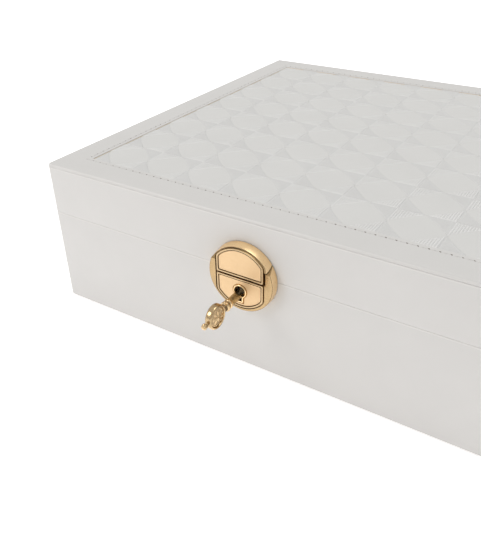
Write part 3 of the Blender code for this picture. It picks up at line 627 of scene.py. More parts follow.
def stitch_strip():
    """Four flat strips of leather with a dimple at each needle hole, coloured dark as painted shade.
    """
    across = np.linspace(-1, 1, 11) * STITCH_BAND
    count = int(2 * SEAM_HALF / (STITCH_PITCH / 18))
    along = np.linspace(-SEAM_HALF, SEAM_HALF, count)
    gap = hole_distances(along, -SEAM_HALF)
    points = []
    faces = []
    slots = []
    for quarter in range(4):
        turn = Matrix.Rotation(pi / 2 * quarter, 3, "Z")
        faces += grid_faces(len(points), len(across), count)
        for offset in across:
            stretch = (SEAM_HALF - offset) / SEAM_HALF
            depth = 0.5 * MM * np.exp(-(gap / (0.5 * MM)) ** 4 - (offset / (0.28 * MM)) ** 4)
            soft = 0.03 * MM * exp(-(offset / (0.5 * MM)) ** 2)
            for place, drop in zip(along * stretch, depth):
                points.append(turn @ Vector((place, -SEAM_HALF + offset, LID_TOP - drop - soft)))
        for row in range(len(across) - 1):
            middle = (across[row] + across[row + 1]) / 2
            for k in range(count - 1):
                reach = (gap[k] + gap[k + 1]) / 2
                # Faces close to a hole's middle take the painted hole shade.
                slots.append(1 if (reach / 0.58) ** 2 + (middle / 0.33) ** 2 < MM ** 2 else 0)
    return add_mesh("stitch_strip", points, faces, [LEATHER_SKIN, HOLE_SHADE_LEATHER], slots, 80)


def stitching():
    """Thread between the needle holes: each stitch rises out of one hole and dips into the next."""
    steps = 10
    sides = 8
    radius = 0.27 * MM
    sunk = 0.42 * MM
    start = 0.25 * MM
    length = STITCH_PITCH - 2 * start
    points = []
    faces = []
    for quarter in range(4):
        turn = Matrix.Rotation(pi / 2 * quarter, 3, "Z")
        for number in range(int(2 * SEAM_HALF / STITCH_PITCH)):
            faces += tube_faces(len(points), steps + 1, sides)
            begins = -SEAM_HALF + number * STITCH_PITCH + start
            for step in range(steps + 1):
                t = step / steps
                rise = sin(pi * t) ** 0.45
                centre = Vector((begins + t * length,
                                 -SEAM_HALF + 0.04 * MM * sin(number * 2.3),
                                 LID_TOP - sunk + sunk * rise))
                thick = radius * (0.75 + 0.25 * rise)
                for a in turn_angles(sides):
                    points.append(turn @ (centre + Vector((0, thick * 1.15 * cos(a),
                                                           thick * 0.75 * sin(a)))))
    item = add_mesh("lid_stitching", points, faces, [THREAD], smooth=80)
    return dress(item, "lid", "ivory_leather")


# ---- embossed panel

def dome_edge(angle):
    """The domed tile's half width in a direction, as a share of half a tile."""
    total = abs(cos(angle)) ** DOME_POWER + abs(sin(angle)) ** DOME_POWER
    return total ** (-1 / DOME_POWER)


def dome_template(directions=48):
    """One domed tile round the origin: its points and faces."""
    shares = (0.22, 0.42, 0.6, 0.75, 0.87, 0.95, 1.0)
    points = [(0, 0, DOME_HEIGHT)]
    for share in shares:
        height = DOME_HEIGHT * (1 - share ** 2.2)
        for angle in turn_angles(directions):
            reach = share * dome_edge(angle) * TILE / 2
            points.append((reach * cos(angle), reach * sin(angle), height))
    faces = [(0, 1 + k, 1 + (k + 1) % directions) for k in range(directions)]
    faces += [(a, d, c, b) for a, b, c, d in tube_faces(1, len(shares), directions)]
    return points, faces


def rib_template(along_y, sign_x, sign_y):
    """The ribbed corner of one tile, between its dome and its outer corner."""
    columns = RIBS_PER_HALF_TILE * 4 + 1
    shares = (0.0, 0.07, 0.2, 0.5, 0.8, 0.93, 1.0)
    half = TILE / 2
    points = []
    for column in range(columns):
        u = column / (columns - 1)
        edge = max(0.0, 1 - u ** DOME_POWER) ** (1 / DOME_POWER)
        swell = sin(pi * ((u * RIBS_PER_HALF_TILE) % 1.0)) ** 0.7
        for share in shares:
            v = edge + (1 - edge) * share
            margin = min(v - edge, 1 - v) * half
            height = RIB_HEIGHT * swell * min(1.0, margin / RIB_FADE)
            across, reach = (u, v) if along_y else (v, u)
            points.append((sign_x * across * half, sign_y * reach * half, height))
    rows = len(shares)
    faces = []
    flip = (sign_x * sign_y > 0) == along_y
    for column in range(columns - 1):
        for row in range(rows - 1):
            here = column * rows + row
            quad = (here, here + rows, here + rows + 1, here + 1)
            faces.append(quad if flip else quad[::-1])
    return points, faces


def repeat_tiles(name, templates, materials):
    """Lay templates on every tile of the panel; each template has its own material."""
    points = []
    faces = []
    slots = []
    for row in range(TILES):
        for column in range(TILES):
            centre = np.array((-OPENING + (column + 0.5) * TILE, -OPENING + (row + 0.5) * TILE,
                               FIELD_Z))
            for slot, (local, local_faces) in enumerate(templates):
                first = len(points)
                points.extend(np.array(local) + centre)
                faces.extend(tuple(first + k for k in face) for face in local_faces)
                slots.extend([slot] * len(local_faces))
    return add_mesh(name, points, faces, materials, slots, 60)


def embossed_panel():
    """The lid's embossed leather: domed tiles between ribbed corners."""
    tiles = repeat_tiles("lid_panel_domes", [dome_template()], [LEATHER_TILE])
    dress(tiles, "lid", "embossed_leather", "lid_embossed_panel")
    corners = [rib_template(True, -1, 1), rib_template(True, 1, -1),
               rib_template(False, 1, 1), rib_template(False, -1, -1)]
    # Ribs along Y take the lighter copy, a painted highlight; ribs along X take the darker one,
    # painted shade.
    looks = [RIB_LEATHER_PAINTED_HIGHLIGHT, RIB_LEATHER_PAINTED_HIGHLIGHT, RIB_LEATHER_PAINTED_SHADE, RIB_LEATHER_PAINTED_SHADE]
    dress(repeat_tiles("lid_panel_ribs", corners, looks), "lid", "embossed_leather")
    opening = HALF - OPENING
    under = opening - 2 * MM
    margin = [square_ring(inset, z, side_steps=4, corner_steps=2)
              for inset, z in ((opening, FIELD_Z), (under, FIELD_Z), (under, FIELD_Z - 0.5 * MM))]
    dress(loft("lid_panel_margin", margin, [LEATHER_TILE]), "lid", "embossed_leather")


# ---- lock

# Which look each band of a moulded plate and of the drum's edge has. The plates' sides and the
# drum's rounded front edge carry painted shade; the plates' grooves carry patina and painted shade.
MOULDING_SLOTS = [3, 3, 0, 0, 0, 0, 1, 1, 1, 2, 2, 2, 2]
MOULDING_LOOKS = [GOLD_RIM, GOLD_PATINA_AND_SHADE, GOLD_FACE, GOLD_SIDE_SHADE]
DRUM_SLOTS = [0, 0, 0, 1, 1, 1, 2]
DRUM_LOOKS = [GOLD_SATIN, GOLD_PATINA_AND_SHADE, GOLD_RING]


def soft_min(values, sharp):
    """The least of some distances, eased where two of them are close."""
    least = min(values)
    return least - log(sum(exp((least - value) * sharp) for value in values)) / sharp


def clipped_ring(radius, inset, y, ray_z, flat=None, low=None, high=None):
    """A ring round a disc clipped by straight sides, all pulled in by inset; ray_z is inside it."""
    radius = radius - inset
    ring = []
    for angle in turn_angles(160, 0.5):
        dx = cos(angle)
        dz = sin(angle)
        reach = [-ray_z * dz + sqrt(radius ** 2 - (ray_z * dx) ** 2)]
        if flat and abs(dx) > 0.02:
            reach.append((flat - inset) / abs(dx))
        if low is not None and dz < -0.02:
            reach.append((low + inset - ray_z) / dz)
        if high is not None and dz > 0.02:
            reach.append((high - inset - ray_z) / dz)
        distance = soft_min(reach, 5 / MM)
        ring.append((dx * distance, y, LOCK_Z + ray_z + dz * distance))
    return ring


def drum_edge():
    """The (inset, y) profile of the drum's wall and rounded front edge, from the back forward."""
    radius = 0.35 * MM
    return [(0.0, LOCK_BACK), *arc(radius, DRUM_FRONT + radius, radius, 180, 270, 6)]


def taper(dome):
    """Narrow the dome's outer wall toward its front edge, most of all at its shoulders."""
    for vertex in dome.data.vertices:
        x, y, z = vertex.co
        reach = hypot(x, z - LOCK_Z)
        forward = (LOCK_BACK - y) / (LOCK_BACK - DRUM_FRONT)
        outer = min(1.0, max(0.0, (reach - 15.7 * MM) / (2.2 * MM)))
        climb = min(1.0, (z - LOCK_Z - SHOULDER) / (3.5 * MM))
        slimmer = SHOULDER_TAPER + (DOME_TAPER - SHOULDER_TAPER) * climb
        share = 1 - slimmer * forward * outer / reach
        vertex.co.x = x * share
        vertex.co.z = LOCK_Z + (z - LOCK_Z) * share


def face_plate(name, back, **shape):
    """A plate of the lock's face: a flat rim, a groove, a small bead and a slope to the middle."""
    moulding = in_mm(PLATE_FRONT, (0, 0.25), (0.08, 0.08), (0.25, 0), (0.6, 0), (0.76, 0.08),
                     (0.84, 0.25), (0.86, 0.7), (1.24, 0.7), (1.28, 0.3), (1.42, 0.2),
                     (1.6, 0.22))
    profile = [(0.0, back), *moulding, (2.2 * MM, PLATE_FACE), (2.4 * MM, PLATE_FACE)]
    return clipped_plate(name, profile, MOULDING_LOOKS, MOULDING_SLOTS, 2, flat=PLATE_HALF,
                         **shape)


def shoulder_wedge(side, level, above):
    """A block on one side of the lock, bounded by the sloping plane of the shoulders."""
    slope = atan2(SHOULDER_RISE, LOCK_BACK - DRUM_FRONT)
    edge = PLATE_HALF - 0.3 * MM
    low, high = (0.0, 12 * MM) if above else (-12 * MM, 0.0)
    wedge = cutter_box((edge, -9 * MM, low), (edge + 9 * MM, 9 * MM, high))
    wedge.data.transform(Matrix.Translation((0, DRUM_FRONT, LOCK_Z + level))
                         @ Matrix.Rotation(slope, 4, "X"))
    if side < 0:
        wedge.data.transform(Matrix.Scale(-1, 4, (1, 0, 0)))
        wedge.data.flip_normals()
    # The cut faces take darker gold: painted shade along the seam, on the ears' tops and under the
    # dome's shoulders.
    wedge.data.materials.append(GOLD_SIDE_SHADE if above else GOLD_PATINA_AND_SHADE)
    return wedge


def face_bed(name, radius, drop=0.0):
    """The recess that a face plate sits in, as a closed shape to cut with."""
    walls = [(0.0, PLATE_FRONT - MM), (0.0, DRUM_FRONT + 0.6 * MM)]
    # The bed's walls, cut into the drum, take painted shade round the plate.
    bed = clipped_plate(name, walls, [GOLD_PATINA_AND_SHADE], radius=radius, flat=PLATE_HALF + 0.8 * MM,
                        ray_z=0.0)
    bed.data.transform(Matrix.Translation((-0.4 * MM, 0, -drop)))
    return bed


def clipped_plate(name, profile, material_list, band_slots=None, cap_slot=0, **shape):
    """A clipped disc with a moulded edge and a flat face."""
    rings = [clipped_ring(inset=inset, y=y, **shape) for inset, y in profile]
    return loft(name, rings, material_list, capped=True, band_slots=band_slots,
                cap_slot=cap_slot, smooth=LOCK_CREASE)


def rounded_outline(corners, radius, steps=6):
    """Round the sharp corners of a closed outline; points on gentle curves stay."""
    outline = []
    count = len(corners)
    for i, corner in enumerate(corners):
        here = Vector(corner)
        before = Vector(corners[i - 1]) - here
        after = Vector(corners[(i + 1) % count]) - here
        turn = pi - before.angle(after)
        if turn < radians(20):
            outline.append(tuple(here))
            continue
        cut = min(radius * tan(turn / 2), before.length * 0.45, after.length * 0.45)
        start = here + before.normalized() * cut
        end = here + after.normalized() * cut
        for step in range(steps + 1):
            t = step / steps
            outline.append(tuple(start.lerp(here, t).lerp(here.lerp(end, t), t)))
    return outline


def inset_outline(outline, inset):
    """Move an anticlockwise outline inward along its corner normals."""
    moved = []
    for i, corner in enumerate(outline):
        before = (Vector(corner) - Vector(outline[i - 1])).normalized()
        after = (Vector(outline[(i + 1) % len(outline)]) - Vector(corner)).normalized()
        normal = Vector((-(before.y + after.y), before.x + after.x))
        normal.normalize()
        lean = max(0.5, normal.dot(Vector((-before.y, before.x))))
        moved.append(tuple(Vector(corner) + normal * inset / lean))
    return moved


def case_outline():
    """The lock case from the front, anticlockwise: most of a disc, with a notch for the hasp."""
    ear = EAR_TOP + SHOULDER_RISE
    notch = PLATE_HALF + 0.8 * MM
    end = degrees(asin(ear / DRUM_RADIUS))
    lower = arc(0, 0, DRUM_RADIUS, -180 - end, end, 90)
    return [*lower, (notch, ear), (notch, SPLIT_TOP), (-notch, SPLIT_TOP), (-notch, ear)]


def lock_case():
    """The part of the drum on the base, with an ear up each side of the hasp."""
    outline = rounded_outline(case_outline(), 0.5 * MM)
    rings = []
    for inset, y in drum_edge():
        rings.append([(x, y, LOCK_Z + z) for x, z in inset_outline(outline, inset)])
    case = loft("lock_case_body", rings, DRUM_LOOKS, capped=True, band_slots=DRUM_SLOTS,
                cap_slot=2, smooth=LOCK_CREASE)
    mesh = bmesh.new()
    mesh.from_mesh(case.data)
    bmesh.ops.triangulate(mesh, faces=[face for face in mesh.faces if len(face.verts) > 4])
    mesh.to_mesh(case.data)
    mesh.free()
    shade(case, LOCK_CREASE)
    room = clipped_plate("case_room", [(0, CAVITY_FRONT), (0, CAVITY_BACK)], [],
                         radius=DRUM_RADIUS - LOCK_WALL, ray_z=-7 * MM,
                         high=SPLIT_TOP - 1.2 * MM)
    way = cutter_box((-1.4 * MM, CAVITY_FRONT, LOCK_Z - 5 * MM),
                     (5.8 * MM, CAVITY_BACK, LOCK_Z + 5 * MM))
    bed = face_bed("case_bed", LOW_PLATE_RADIUS + 0.6 * MM, 0.5 * MM)
    ears = [shoulder_wedge(side, EAR_TOP, True) for side in (-1, 1)]
    carve(case, [room, way, bed, keyhole_plug("case_keyhole", 0.05 * MM), *ears])
    shade(case, LOCK_CREASE)
    return dress(case, "base", "gold_plate", "lock_case")


def keyhole_ring_points(grow, y):
    """A ring along the keyhole's outline: a round hole with a slot below, grown outward."""
    radius = KEYHOLE_RADIUS + grow
    half = KEYHOLE_SLOT_HALF + grow
    drop = KEYHOLE_DROP + grow
    ring = []
    for angle in turn_angles(72, 0.5):
        dx = cos(angle)
        dz = sin(angle)
        reach = radius
        if dz < 0:
            slot = soft_min([half / max(abs(dx), 0.001), drop / -dz], 4 / MM)
            reach = -soft_min([-radius, -slot], 5 / MM) if slot > radius * 0.8 else radius
        ring.append((dx * reach, y, KEYHOLE_Z + dz * reach))
    return ring


def keyhole_plug(name, grow, back=-HALF - 1 * MM):
    """The keyhole, grown and as deep as asked, as a closed shape to cut with."""
    rings = [keyhole_ring_points(grow, y) for y in (PLATE_FRONT - 3 * MM, back)]
    # The cut walls take the darker gold, painted shade inside the keyhole.
    return loft(name, rings, [GOLD_SIDE_SHADE], capped=True)


def lock_face():
    """The lower face plate: moulded round its edge, with the keyhole through it."""
    plate = face_plate("lock_face", PLATE_BACK, radius=LOW_PLATE_RADIUS, high=SPLIT_TOP,
                       ray_z=-7 * MM)
    carve(plate, [keyhole_plug("face_keyhole", 0.0),
                  keyhole_plug("keyhole_bed", 1.25 * MM, PLATE_FACE + 0.35 * MM)])
    shade(plate, LOCK_CREASE)
    dress(plate, "base", "gold_plate", "lock_face_plate")
    rim = in_mm(PLATE_FACE, (0, 0.8), (0, -0.35), (0.12, -0.52), (0.35, -0.6), (0.6, -0.5),
                (0.78, -0.2), (0.82, 0.4))
    rings = [keyhole_ring_points(grow, y) for grow, y in rim]
    ring = loft("keyhole_rim", rings, [GOLD], closed=True, smooth=50)
    dress(ring, "base", "gold_plate", "keyhole_ring")


def hasp():
    """The part of the drum on the lid: a dome with shoulders, and the upper face plate."""
    dome = clipped_plate("hasp_dome", drum_edge(), DRUM_LOOKS, DRUM_SLOTS, 2,
                         radius=DRUM_RADIUS, low=SHOULDER + 0.2 * MM, ray_z=12 * MM)
    plate = face_plate("hasp_face", LOCK_BACK, radius=PLATE_RADIUS, low=HASP_LOW, ray_z=8 * MM)
    taper(dome)
    shoulders = [shoulder_wedge(side, EAR_TOP + 0.45 * MM, False) for side in (-1, 1)]
    carve(dome, [face_bed("dome_bed", PLATE_RADIUS + 0.35 * MM), *shoulders])
    hollow = [(0, CAVITY_FRONT - 0.6 * MM), (0, CAVITY_BACK)]
    for piece, foot in ((dome, SHOULDER), (plate, HASP_LOW)):
        room = clipped_plate("hasp_room", hollow, [], radius=PLATE_RADIUS - 1.6 * MM,
                             low=foot + LOCK_WALL, flat=PLATE_HALF - LOCK_WALL, ray_z=10 * MM)
        carve(piece, [room])
        shade(piece, LOCK_CREASE)
    dress(dome, "lid", "gold_plate", "hasp_cover")
    dress(plate, "lid", "gold_plate")


# ---- key

def bow_relief(radius, angle):
    """How far the bow's face rises at a place: a boss, six petals and a row of beads."""
    boss = 0.55 * MM * exp(-(radius / (1.1 * MM)) ** 2)
    petal = 0.0
    if radius < 4.3 * MM:
        petal = 0.5 * MM * sin(pi * radius / (4.3 * MM)) * abs(cos(3 * angle)) ** 1.5
    beads = (0.36 * MM * max(0.0, cos(14 * angle))
             * exp(-((radius - 4.95 * MM) / (0.32 * MM)) ** 2))
    return boss + petal + beads


def key_bow():
    """The round bow: a double rim with a groove round its edge, and relief on both faces."""
    face = BOW_HALF - 0.75 * MM
    radii = np.linspace(0.15 * MM, 5.45 * MM, 24)
    rim = [*in_mm(BOW_HALF, (5.55, -0.95), (5.75, -0.95), (5.8, -0.3), (6.0, -0.05), (6.3, 0),
                  (6.6, -0.1), (6.65, -0.3), (6.8, -0.35)),
           (BOW_RADIUS - 0.05 * MM, BOW_HALF - 0.55 * MM), (BOW_RADIUS, 0.6 * MM)]
    one_side = [(radius, None) for radius in radii] + rim
    rings = []
    for side, halves in ((1, one_side), (-1, one_side[::-1])):
        for radius, level in halves:
            ring = []
            reach = radius * BOW_SHARE
            for angle in turn_angles(96):
                x = level if level is not None else face + bow_relief(radius, angle)
                ring.append(KEY_PLACE @ Vector((side * x, -BOW_CENTRE + reach * cos(angle),
                                                reach * sin(angle))))
            rings.append(ring)
    groove = len(radii) - 1
    front_slots = marked(len(one_side), groove, groove + 2)
    return loft("key_bow", rings, [GOLD_KEY, GOLD_PATINA_AND_SHADE], capped=True,
                band_slots=front_slots + front_slots[-2::-1], smooth=60)


def key_piece():
    """The key: bit, shaft with collars, bow and ball, joined into one piece."""
    along = KEY_PLACE @ Matrix.Rotation(pi / 2, 4, "X")
    tip = in_mm(0, (0.15, -5.2), (1.0, -5.2), (1.5, -4.9), (1.7, -4.5))
    front = in_mm(0, (1.7, 0.4), (2.1, 0.9), (2.1, 8.8))
    collars = smooth_profile(in_mm(0, (2.1, 8.9), (2.45, 9.35), (2.5, 10.2), (1.9, 10.7),
                                   (1.9, 11.2), (2.6, 11.8), (2.6, 12.7), (1.9, 13.2),
                                   (1.75, 14.3), (1.2, 16)), 4)
    outline = [*tip, *front, *collars]
    looks = [2 if height < 8.8 * MM else 1 if height < 14.3 * MM and radius < 2.05 * MM else 0
             for radius, height in outline[:-1]]
    shaft = turned("key_shaft", outline, along, [GOLD_KEY, GOLD_PATINA_AND_SHADE, GOLD_SHAFT], band_slots=looks)
    ball_z = BOW_CENTRE + BOW_RADIUS + 1.9 * MM
    ball_radius = 1.6 * MM
    ball = [*in_mm(ball_z, (0.9, -4), (0.85, -1.9), (1.25, -1.6), (1.2, -1.35)),
            *[(ball_radius * sin(a), ball_z - ball_radius * cos(a))
              for a in np.linspace(0.8, 2.95, 14)]]
    finial = turned("key_finial", ball, along, [GOLD_KEY], 48, 6, 0.22)
    bit = cutter_box((-0.8 * MM, 3.3 * MM, -3.9 * MM), (0.8 * MM, 4.9 * MM, -1 * MM))
    bit.data.materials.append(GOLD_KEY)
    bit.data.transform(KEY_PLACE)
    round_edges(bit, 0.2 * MM)
    key = joined("key_ornate", [shaft, key_bow(), finial, bit])
    return dress(key, "key", "gold_plate", "key")


# ---- hinges and screws

def screw(node, body):
    """A domed screw head with a cross slot, on its shank."""
    low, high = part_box(node)
    centre = (low + high) / 2
    head = (high.x - low.x) / 2
    place = Matrix.Translation((centre.x, low.y, centre.z)) @ Matrix.Rotation(-pi / 2, 4, "X")
    length = high.y - low.y
    neck = length - 1 * MM
    pitch = 0.35 * MM
    thread = [(0.7 * MM + 0.25 * MM * (i % 2), 1.2 * MM + i * pitch)
              for i in range(int((neck - 1.4 * MM) / pitch))]
    profile = [(0.1 * MM, 0), *thread, (1 * MM, neck), (head, neck), (head, neck + 0.3 * MM),
               (head * 0.8, length - 0.3 * MM), (head * 0.45, length - 0.08 * MM),
               (0.1 * MM, length)]
    item = turned(node + "_turned", profile, place, [STEEL], 28)
    turn = radians(abs(int(centre.x * 13171 + centre.z * 7919)) % 90)
    corner = Vector((head * 0.55, 0.45 * MM, 0.22 * MM))
    slots = []
    for quarter in (0, 1):
        slot = cutter_box(-corner, corner)
        slot.data.transform(Matrix.Translation((centre.x, high.y, centre.z))
                            @ Matrix.Rotation(turn + quarter * pi / 2, 4, "Y"))
        slots.append(slot)
    carve(item, slots)
    shade(item, 35)
    return dress(item, body, "steel", node)


def hardware():
    """Hinge leaves, pins, screws, hook and cam."""
    for word in ("left", "right"):
        hinge = "hinge_" + word
        rounded_copy(hinge + "_base_leaf", "base", "gold_plate", 0.22 * MM, 2)
        rounded_copy(hinge + "_lid_leaf", "lid", "gold_plate", 0.22 * MM, 2)
        rounded_copy(hinge + "_pin", "base", "steel", 0.2 * MM, 2)
        screw("lock_screw_" + word, "base")
        for number in ("1", "2"):
            screw(hinge + "_base_screw_" + number, "base")
            screw(hinge + "_lid_screw_" + number, "lid")
    screw("hasp_screw", "lid")
    rounded_copy("hasp_hook", "lid", "steel", 0.2 * MM, 2)
    rounded_copy("lock_cam", "lock_cam", "steel", 0.12 * MM, 2)


# ---- boards and lining

def boards():
    """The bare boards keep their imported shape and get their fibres."""
    for node in ("base_front_board", "base_back_board", "base_left_board", "base_right_board",
                 "base_bottom_board", "bay_ceiling_board", "bay_partition", "lid_frame",
                 "lid_top_board"):
        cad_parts[node].data.materials.clear()
        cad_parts[node].data.materials.append(BOARD)


def linings():
    """Velvet glued over the walls and floors of the compartment, the lid and the felt below."""
    for node, body in (("compartment_lining", "base"), ("lid_lining", "lid")):
        rounded_copy(node, body, "cream_velvet", 0.35 * MM)
    rounded_copy("divider_long", "base", "cream_velvet", 1.2 * MM, 4)
    rounded_copy("divider_short", "base", "cream_velvet", 1.2 * MM, 4)
    rounded_copy("base_felt", "base", "grey_felt", 0.5 * MM)


def floor_pad(name, body, low, high, thick):
    """A thin padded velvet sheet that fills a rectangular floor, crowned between its edges."""
    steps = 24
    width = steps + 1
    long_x = high[0] - low[0]
    long_y = high[1] - low[1]
    points = []
    for level in (0, 1):
        for row in range(width):
            for column in range(width):
                u = column / steps
                v = row / steps
                margin = min(u * long_x, (1 - u) * long_x, v * long_y, (1 - v) * long_y)
                rise = thick * (0.25 + 0.75 * min(1.0, margin / (7 * MM)) ** 0.5) * level
                rise += level * 0.15 * MM * noise.noise(Vector((u * 6, v * 6, low[0] * 90)))
                points.append((low[0] + long_x * u, low[1] + long_y * v, low[2] + rise))
    size = width * width
    faces = []
    for quad in grid_faces(0, width, width):
        faces.append(quad[::-1])
        faces.append(tuple(size + k for k in quad))
    border = list(range(width))
    border += [row * width + steps for row in range(1, width)]
    border += [steps * width + column for column in range(steps - 1, -1, -1)]
    border += [row * width for row in range(steps - 1, 0, -1)]
    for i, here in enumerate(border):
        after = border[(i + 1) % len(border)]
        faces.append((here, after, size + after, size + here))
    pad = add_mesh(name, points, faces, [VELVET], smooth=60)
    return dress(pad, body, "cream_velvet")


def back_bin_pad():
    """The padded floor of the open bin behind the ring rolls."""
    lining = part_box("compartment_lining")
    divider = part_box("divider_short")
    floor = lining[0].z + LEATHER
    low = (divider[0].x + 0.6 * MM, divider[1].y + 0.6 * MM, floor + 0.1 * MM)
    high = (divider[1].x - 0.6 * MM, -divider[0].x - 0.6 * MM)
    floor_pad("back_bin_pad", "base", low, high, 2 * MM)


def roll_cage(node, shrink):
    """A plain start for one ring roll: an oval tube with soft ends, a little under full size."""
    low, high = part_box(node)
    middle = (low + high) / 2
    half_y = (high.y - low.y) / 2 - shrink
    half_z = (high.z - low.z) / 2 - shrink
    near = [0.0, 0.006, 0.02, 0.05, 0.1]
    stations = near + [0.1 + 0.8 * i / 10 for i in range(1, 10)] + [1 - s for s in near[::-1]]
    rings = []
    for share in stations:
        end = min(share, 1 - share) * (high.x - low.x)
        full = (1 - max(0.0, 1 - end / (3.5 * MM)) ** 2) ** 0.5 * 0.35 + 0.65
        x = low.x + shrink + share * (high.x - low.x - 2 * shrink)
        rings.append([(x, middle.y + full * half_y * cos(a),
                       middle.z + full * half_z * sin(a)) for a in turn_angles(32)])
    return loft(node + "_padded", rings, [VELVET], capped=True, smooth=80)


def soften(item):
    """Divide every face once and smooth the result."""
    finer = item.modifiers.new("finer", "SUBSURF")
    finer.levels = 1
    settle(item)


def inflate(pad, cap, voxel=4 * MM, pressure=4.0, frames=20):
    """Swell a closed pad as cloth under pressure, moving no point further than the cap."""
    remesh = pad.modifiers.new("remesh", "REMESH")
    remesh.mode = "VOXEL"
    remesh.voxel_size = voxel
    settle(pad)
    rest = [vertex.co.copy() for vertex in pad.data.vertices]
    cloth = pad.modifiers.new("cloth", "CLOTH")
    cloth.settings.use_pressure = True
    cloth.settings.uniform_pressure_force = pressure
    cloth.settings.effector_weights.gravity = 0
    cloth.settings.tension_stiffness = 12
    cloth.settings.mass = 0.1
    for number in range(1, frames + 1):
        SCENE.frame_set(number)
    settle(pad)
    SCENE.frame_set(1)
    for vertex, start in zip(pad.data.vertices, rest):
        move = vertex.co - start
        if move.length > cap:
            vertex.co = start + move.normalized() * cap


def gather(pad, node):
    """Sew the roll: a sunk seam along its side, gathers at its ends and soft folds between."""
    low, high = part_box(node)
    middle = (low + high) / 2
    for vertex in pad.data.vertices:
        co = vertex.co
        angle = atan2((co.z - middle.z) * 1.4, co.y - middle.y)
        end = min(co.x - low.x, high.x - co.x)
        near_end = exp(-end / (7 * MM))
        folds = 0.45 * MM * near_end * cos(18 * angle + 2 * sin(co.x * 300))
        seam = 0.9 * MM * exp(-((angle + 2.2) / 0.1) ** 2)
        drift = 0.35 * MM * noise.noise(co / (11 * MM))
        shift = drift - folds * 0.6 - seam
        outward = Vector((0, cos(angle), sin(angle)))
        co += outward * shift
        co.y = min(max(co.y, low.y + 0.1 * MM), high.y - 0.1 * MM)
        co.z = min(max(co.z, low.z), high.z - 0.1 * MM)
    shade(pad, 80)


def ring_rolls():
    """Five padded rolls, each swollen and gathered."""
    for number in range(1, 6):
        node = "ring_roll_%d" % number
        pad = roll_cage(node, 1.2 * MM)
        inflate(pad, 1.1 * MM)
        soften(pad)
        gather(pad, node)
        pad.data.materials.clear()
        pad.data.materials.append(VELVET)
        dress(pad, "base", "cream_velvet", node)


def tray():
    """The lift-out tray: velvet over a stiff core, with a padded floor in each cell."""
    rounded_copy("tray_box", "tray", "cream_velvet", 0.9 * MM, 4)
    rounded_copy("tray_pull_tab", "tray", "ivory_leather", 0.35 * MM, 3)
    low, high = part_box("tray_box")
    wall = 2.5 * MM
    gap = 0.3 * MM
    cell_x = (high.x - low.x - wall) / 2
    cell_y = (high.y - low.y - wall) / 3
    for column in range(2):
        for row in range(3):
            left = low.x + column * cell_x
            front = low.y + row * cell_y
            corner = (left + wall + gap, front + wall + gap, low.z + 2.1 * MM)
            far = (left + cell_x - gap, front + cell_y - gap)
            floor_pad("tray_cell_pad_%d" % (column * 3 + row + 1), "tray", corner, far, 1.6 * MM)


# ---- drawers

def drawer(word, side):
    """One end drawer: leather front, board box, velvet lining, padded floor and turned knob."""
    body = "drawer_" + word
    rounded_copy(body + "_front", body, "ivory_leather", 1 * MM, 4)
    rounded_copy(body + "_box", body, "fibre_board", 0.4 * MM, 2)
    rounded_copy(body + "_lining", body, "cream_velvet", 0.35 * MM)
    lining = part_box(body + "_lining")
    edge = 1.1 * MM
    low = (lining[0].x + edge, lining[0].y + edge, lining[0].z + 0.9 * MM)
    high = (lining[1].x - edge, lining[1].y - edge)
    floor_pad(body + "_pad", body, low, high, 1.6 * MM)
    knob_low, knob_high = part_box(body + "_knob")
    centre = (knob_low + knob_high) / 2
    foot = Matrix.Translation((side * HALF, centre.y, centre.z)) @ Matrix.Rotation(
        side * pi / 2, 4, "Y")
    outline = smooth_profile(in_mm(0, (4.1, 0.1), (4.25, 0.5), (3.9, 0.95), (2.5, 1.2),
                                   (1.85, 2), (1.9, 3.3), (3.0, 4.3), (4.2, 5.5), (4.4, 6.8),
                                   (3.7, 8.2), (2.0, 9.15), (0.1, 9.4)))
    knob = turned(body + "_knob_turned", outline, foot, [GOLD])
    dress(knob, body, "gold_plate", body + "_knob")


# ---- mirror

def mirror():
    """The mirror with a ground bevel, in a moulded gold frame."""
    low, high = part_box("mirror_glass")
    half = high.x
    bevel = ((8 * MM, low.z), (0, low.z + 1 * MM), (0, high.z))
    rings = [square_ring(inset, z, 1 * MM, 2, 4, half) for inset, z in bevel]
    glass = loft("mirror_bevelled", rings, [MIRROR], capped=True, smooth=3)
    dress(glass, "lid", "mirror_silver", "mirror_glass")
    frame_low, frame_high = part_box("mirror_frame")
    outer = frame_high.x
    wide = outer - half - 0.3 * MM
    edge = 0.8 * MM
    top = frame_high.z
    bottom = frame_low.z
    waves = ((0.35, 0), (0.45, 0.5), (0.6, 0.3), (0.8, 0.5), (1, 1.2))
    profile = [(0, top), (0, bottom + 1 * MM), *arc(edge, bottom + edge, edge, 180, 270, 4),
               *[(wide * share, bottom + rise * MM) for share, rise in waves], (wide, top)]
    trim = square_sweep("mirror_moulding", profile, [GOLD], half=outer, side_steps=2)
    dress(trim, "lid", "gold_plate", "mirror_frame")


# ---- studio

def plain(name, shade_of_grey, emission=0.0):
    """An even matt paint, for the studio."""
    grey = (shade_of_grey, shade_of_grey, shade_of_grey, 1)
    return principled(name, 0.9, Specular_IOR_Level=0.1, Base_Color=grey,
                      Emission_Color=(1, 1, 1, 1), Emission_Strength=emission)


def sheet(name, across, up, material):
    """A flat four-sided sheet round the origin, spanned by two half sides."""
    across = Vector(across)
    up = Vector(up)
    corners = [-across - up, across - up, across + up, up - across]
    return add_mesh(name, corners, [(0, 1, 2, 3)], [material])


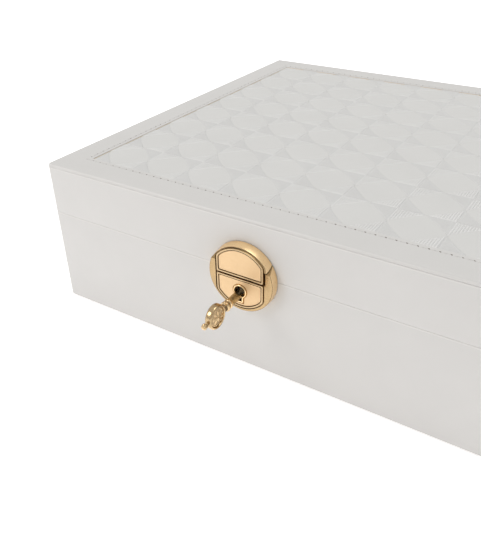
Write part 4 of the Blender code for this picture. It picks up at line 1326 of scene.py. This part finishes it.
def area_light(name, place, size, power, colour):
    """A square softbox aimed at the chest."""
    light = bpy.data.lights.new(name, "AREA")
    light.size = size
    light.energy = power
    light.color = colour
    item = new_object(name, light)
    item.location = place
    item.rotation_mode = "QUATERNION"
    item.rotation_quaternion = (Vector((0, 0, 0.05)) - Vector(place)).to_track_quat("-Z", "Y")


def studio():
    """A pale floor, a bright even room, two softboxes and a dark card beside the right end."""
    floor = sheet("floor", (20, 0, 0), (0, 20, 0), plain("floor_paint", 0.93, 0.46))
    floor.location.z = -0.2 * MM
    world = bpy.data.worlds.new("room")
    world.use_nodes = True
    background = world.node_tree.nodes["Background"]
    background.inputs["Color"].default_value = (1, 1, 1, 1)
    background.inputs["Strength"].default_value = 0.62
    SCENE.world = world
    area_light("key_light", (-1.3, -1.5, 1.5), 1.0, 12.6, (1, 0.97, 0.965))
    area_light("top_light", (0.3, 0.4, 2.0), 1.2, 12.6, (0.975, 1, 0.985))
    card = sheet("shade_card", (0.45, 0, 0), (0, 0, 0.45), plain("card_paper", 0.1))
    card.location = (0.7, -0.6, 0.46)
    card.rotation_euler = (0, 0, radians(49))
    card.visible_camera = False
    card.visible_glossy = False
    SCENE.view_settings.view_transform = "Standard"


def camera():
    """A camera in front of the right-hand corner, looking down at the lid."""
    eye = Vector((142.4 * MM, -353.6 * MM, 224.2 * MM))
    right = Vector((0.84288, 0.53783, -0.01697))
    down = Vector((0.27792, -0.46212, -0.84214))
    forward = right.cross(down)
    turn = Matrix((right, -down, -forward)).transposed().to_4x4()
    data = bpy.data.cameras.new("camera")
    data.lens = 41.33
    data.sensor_width = 36
    data.clip_start = 0.01
    item = new_object("camera", data)
    item.matrix_world = Matrix.Translation(eye) @ turn
    SCENE.camera = item


# ---- whole chest

base_skin()
lid_skin()
top_leather()
stitching()
embossed_panel()
lock_case()
lock_face()
hasp()
key_piece()
hardware()
boards()
linings()
back_bin_pad()
ring_rolls()
tray()
drawer("left", -1)
drawer("right", 1)
mirror()
studio()
camera()
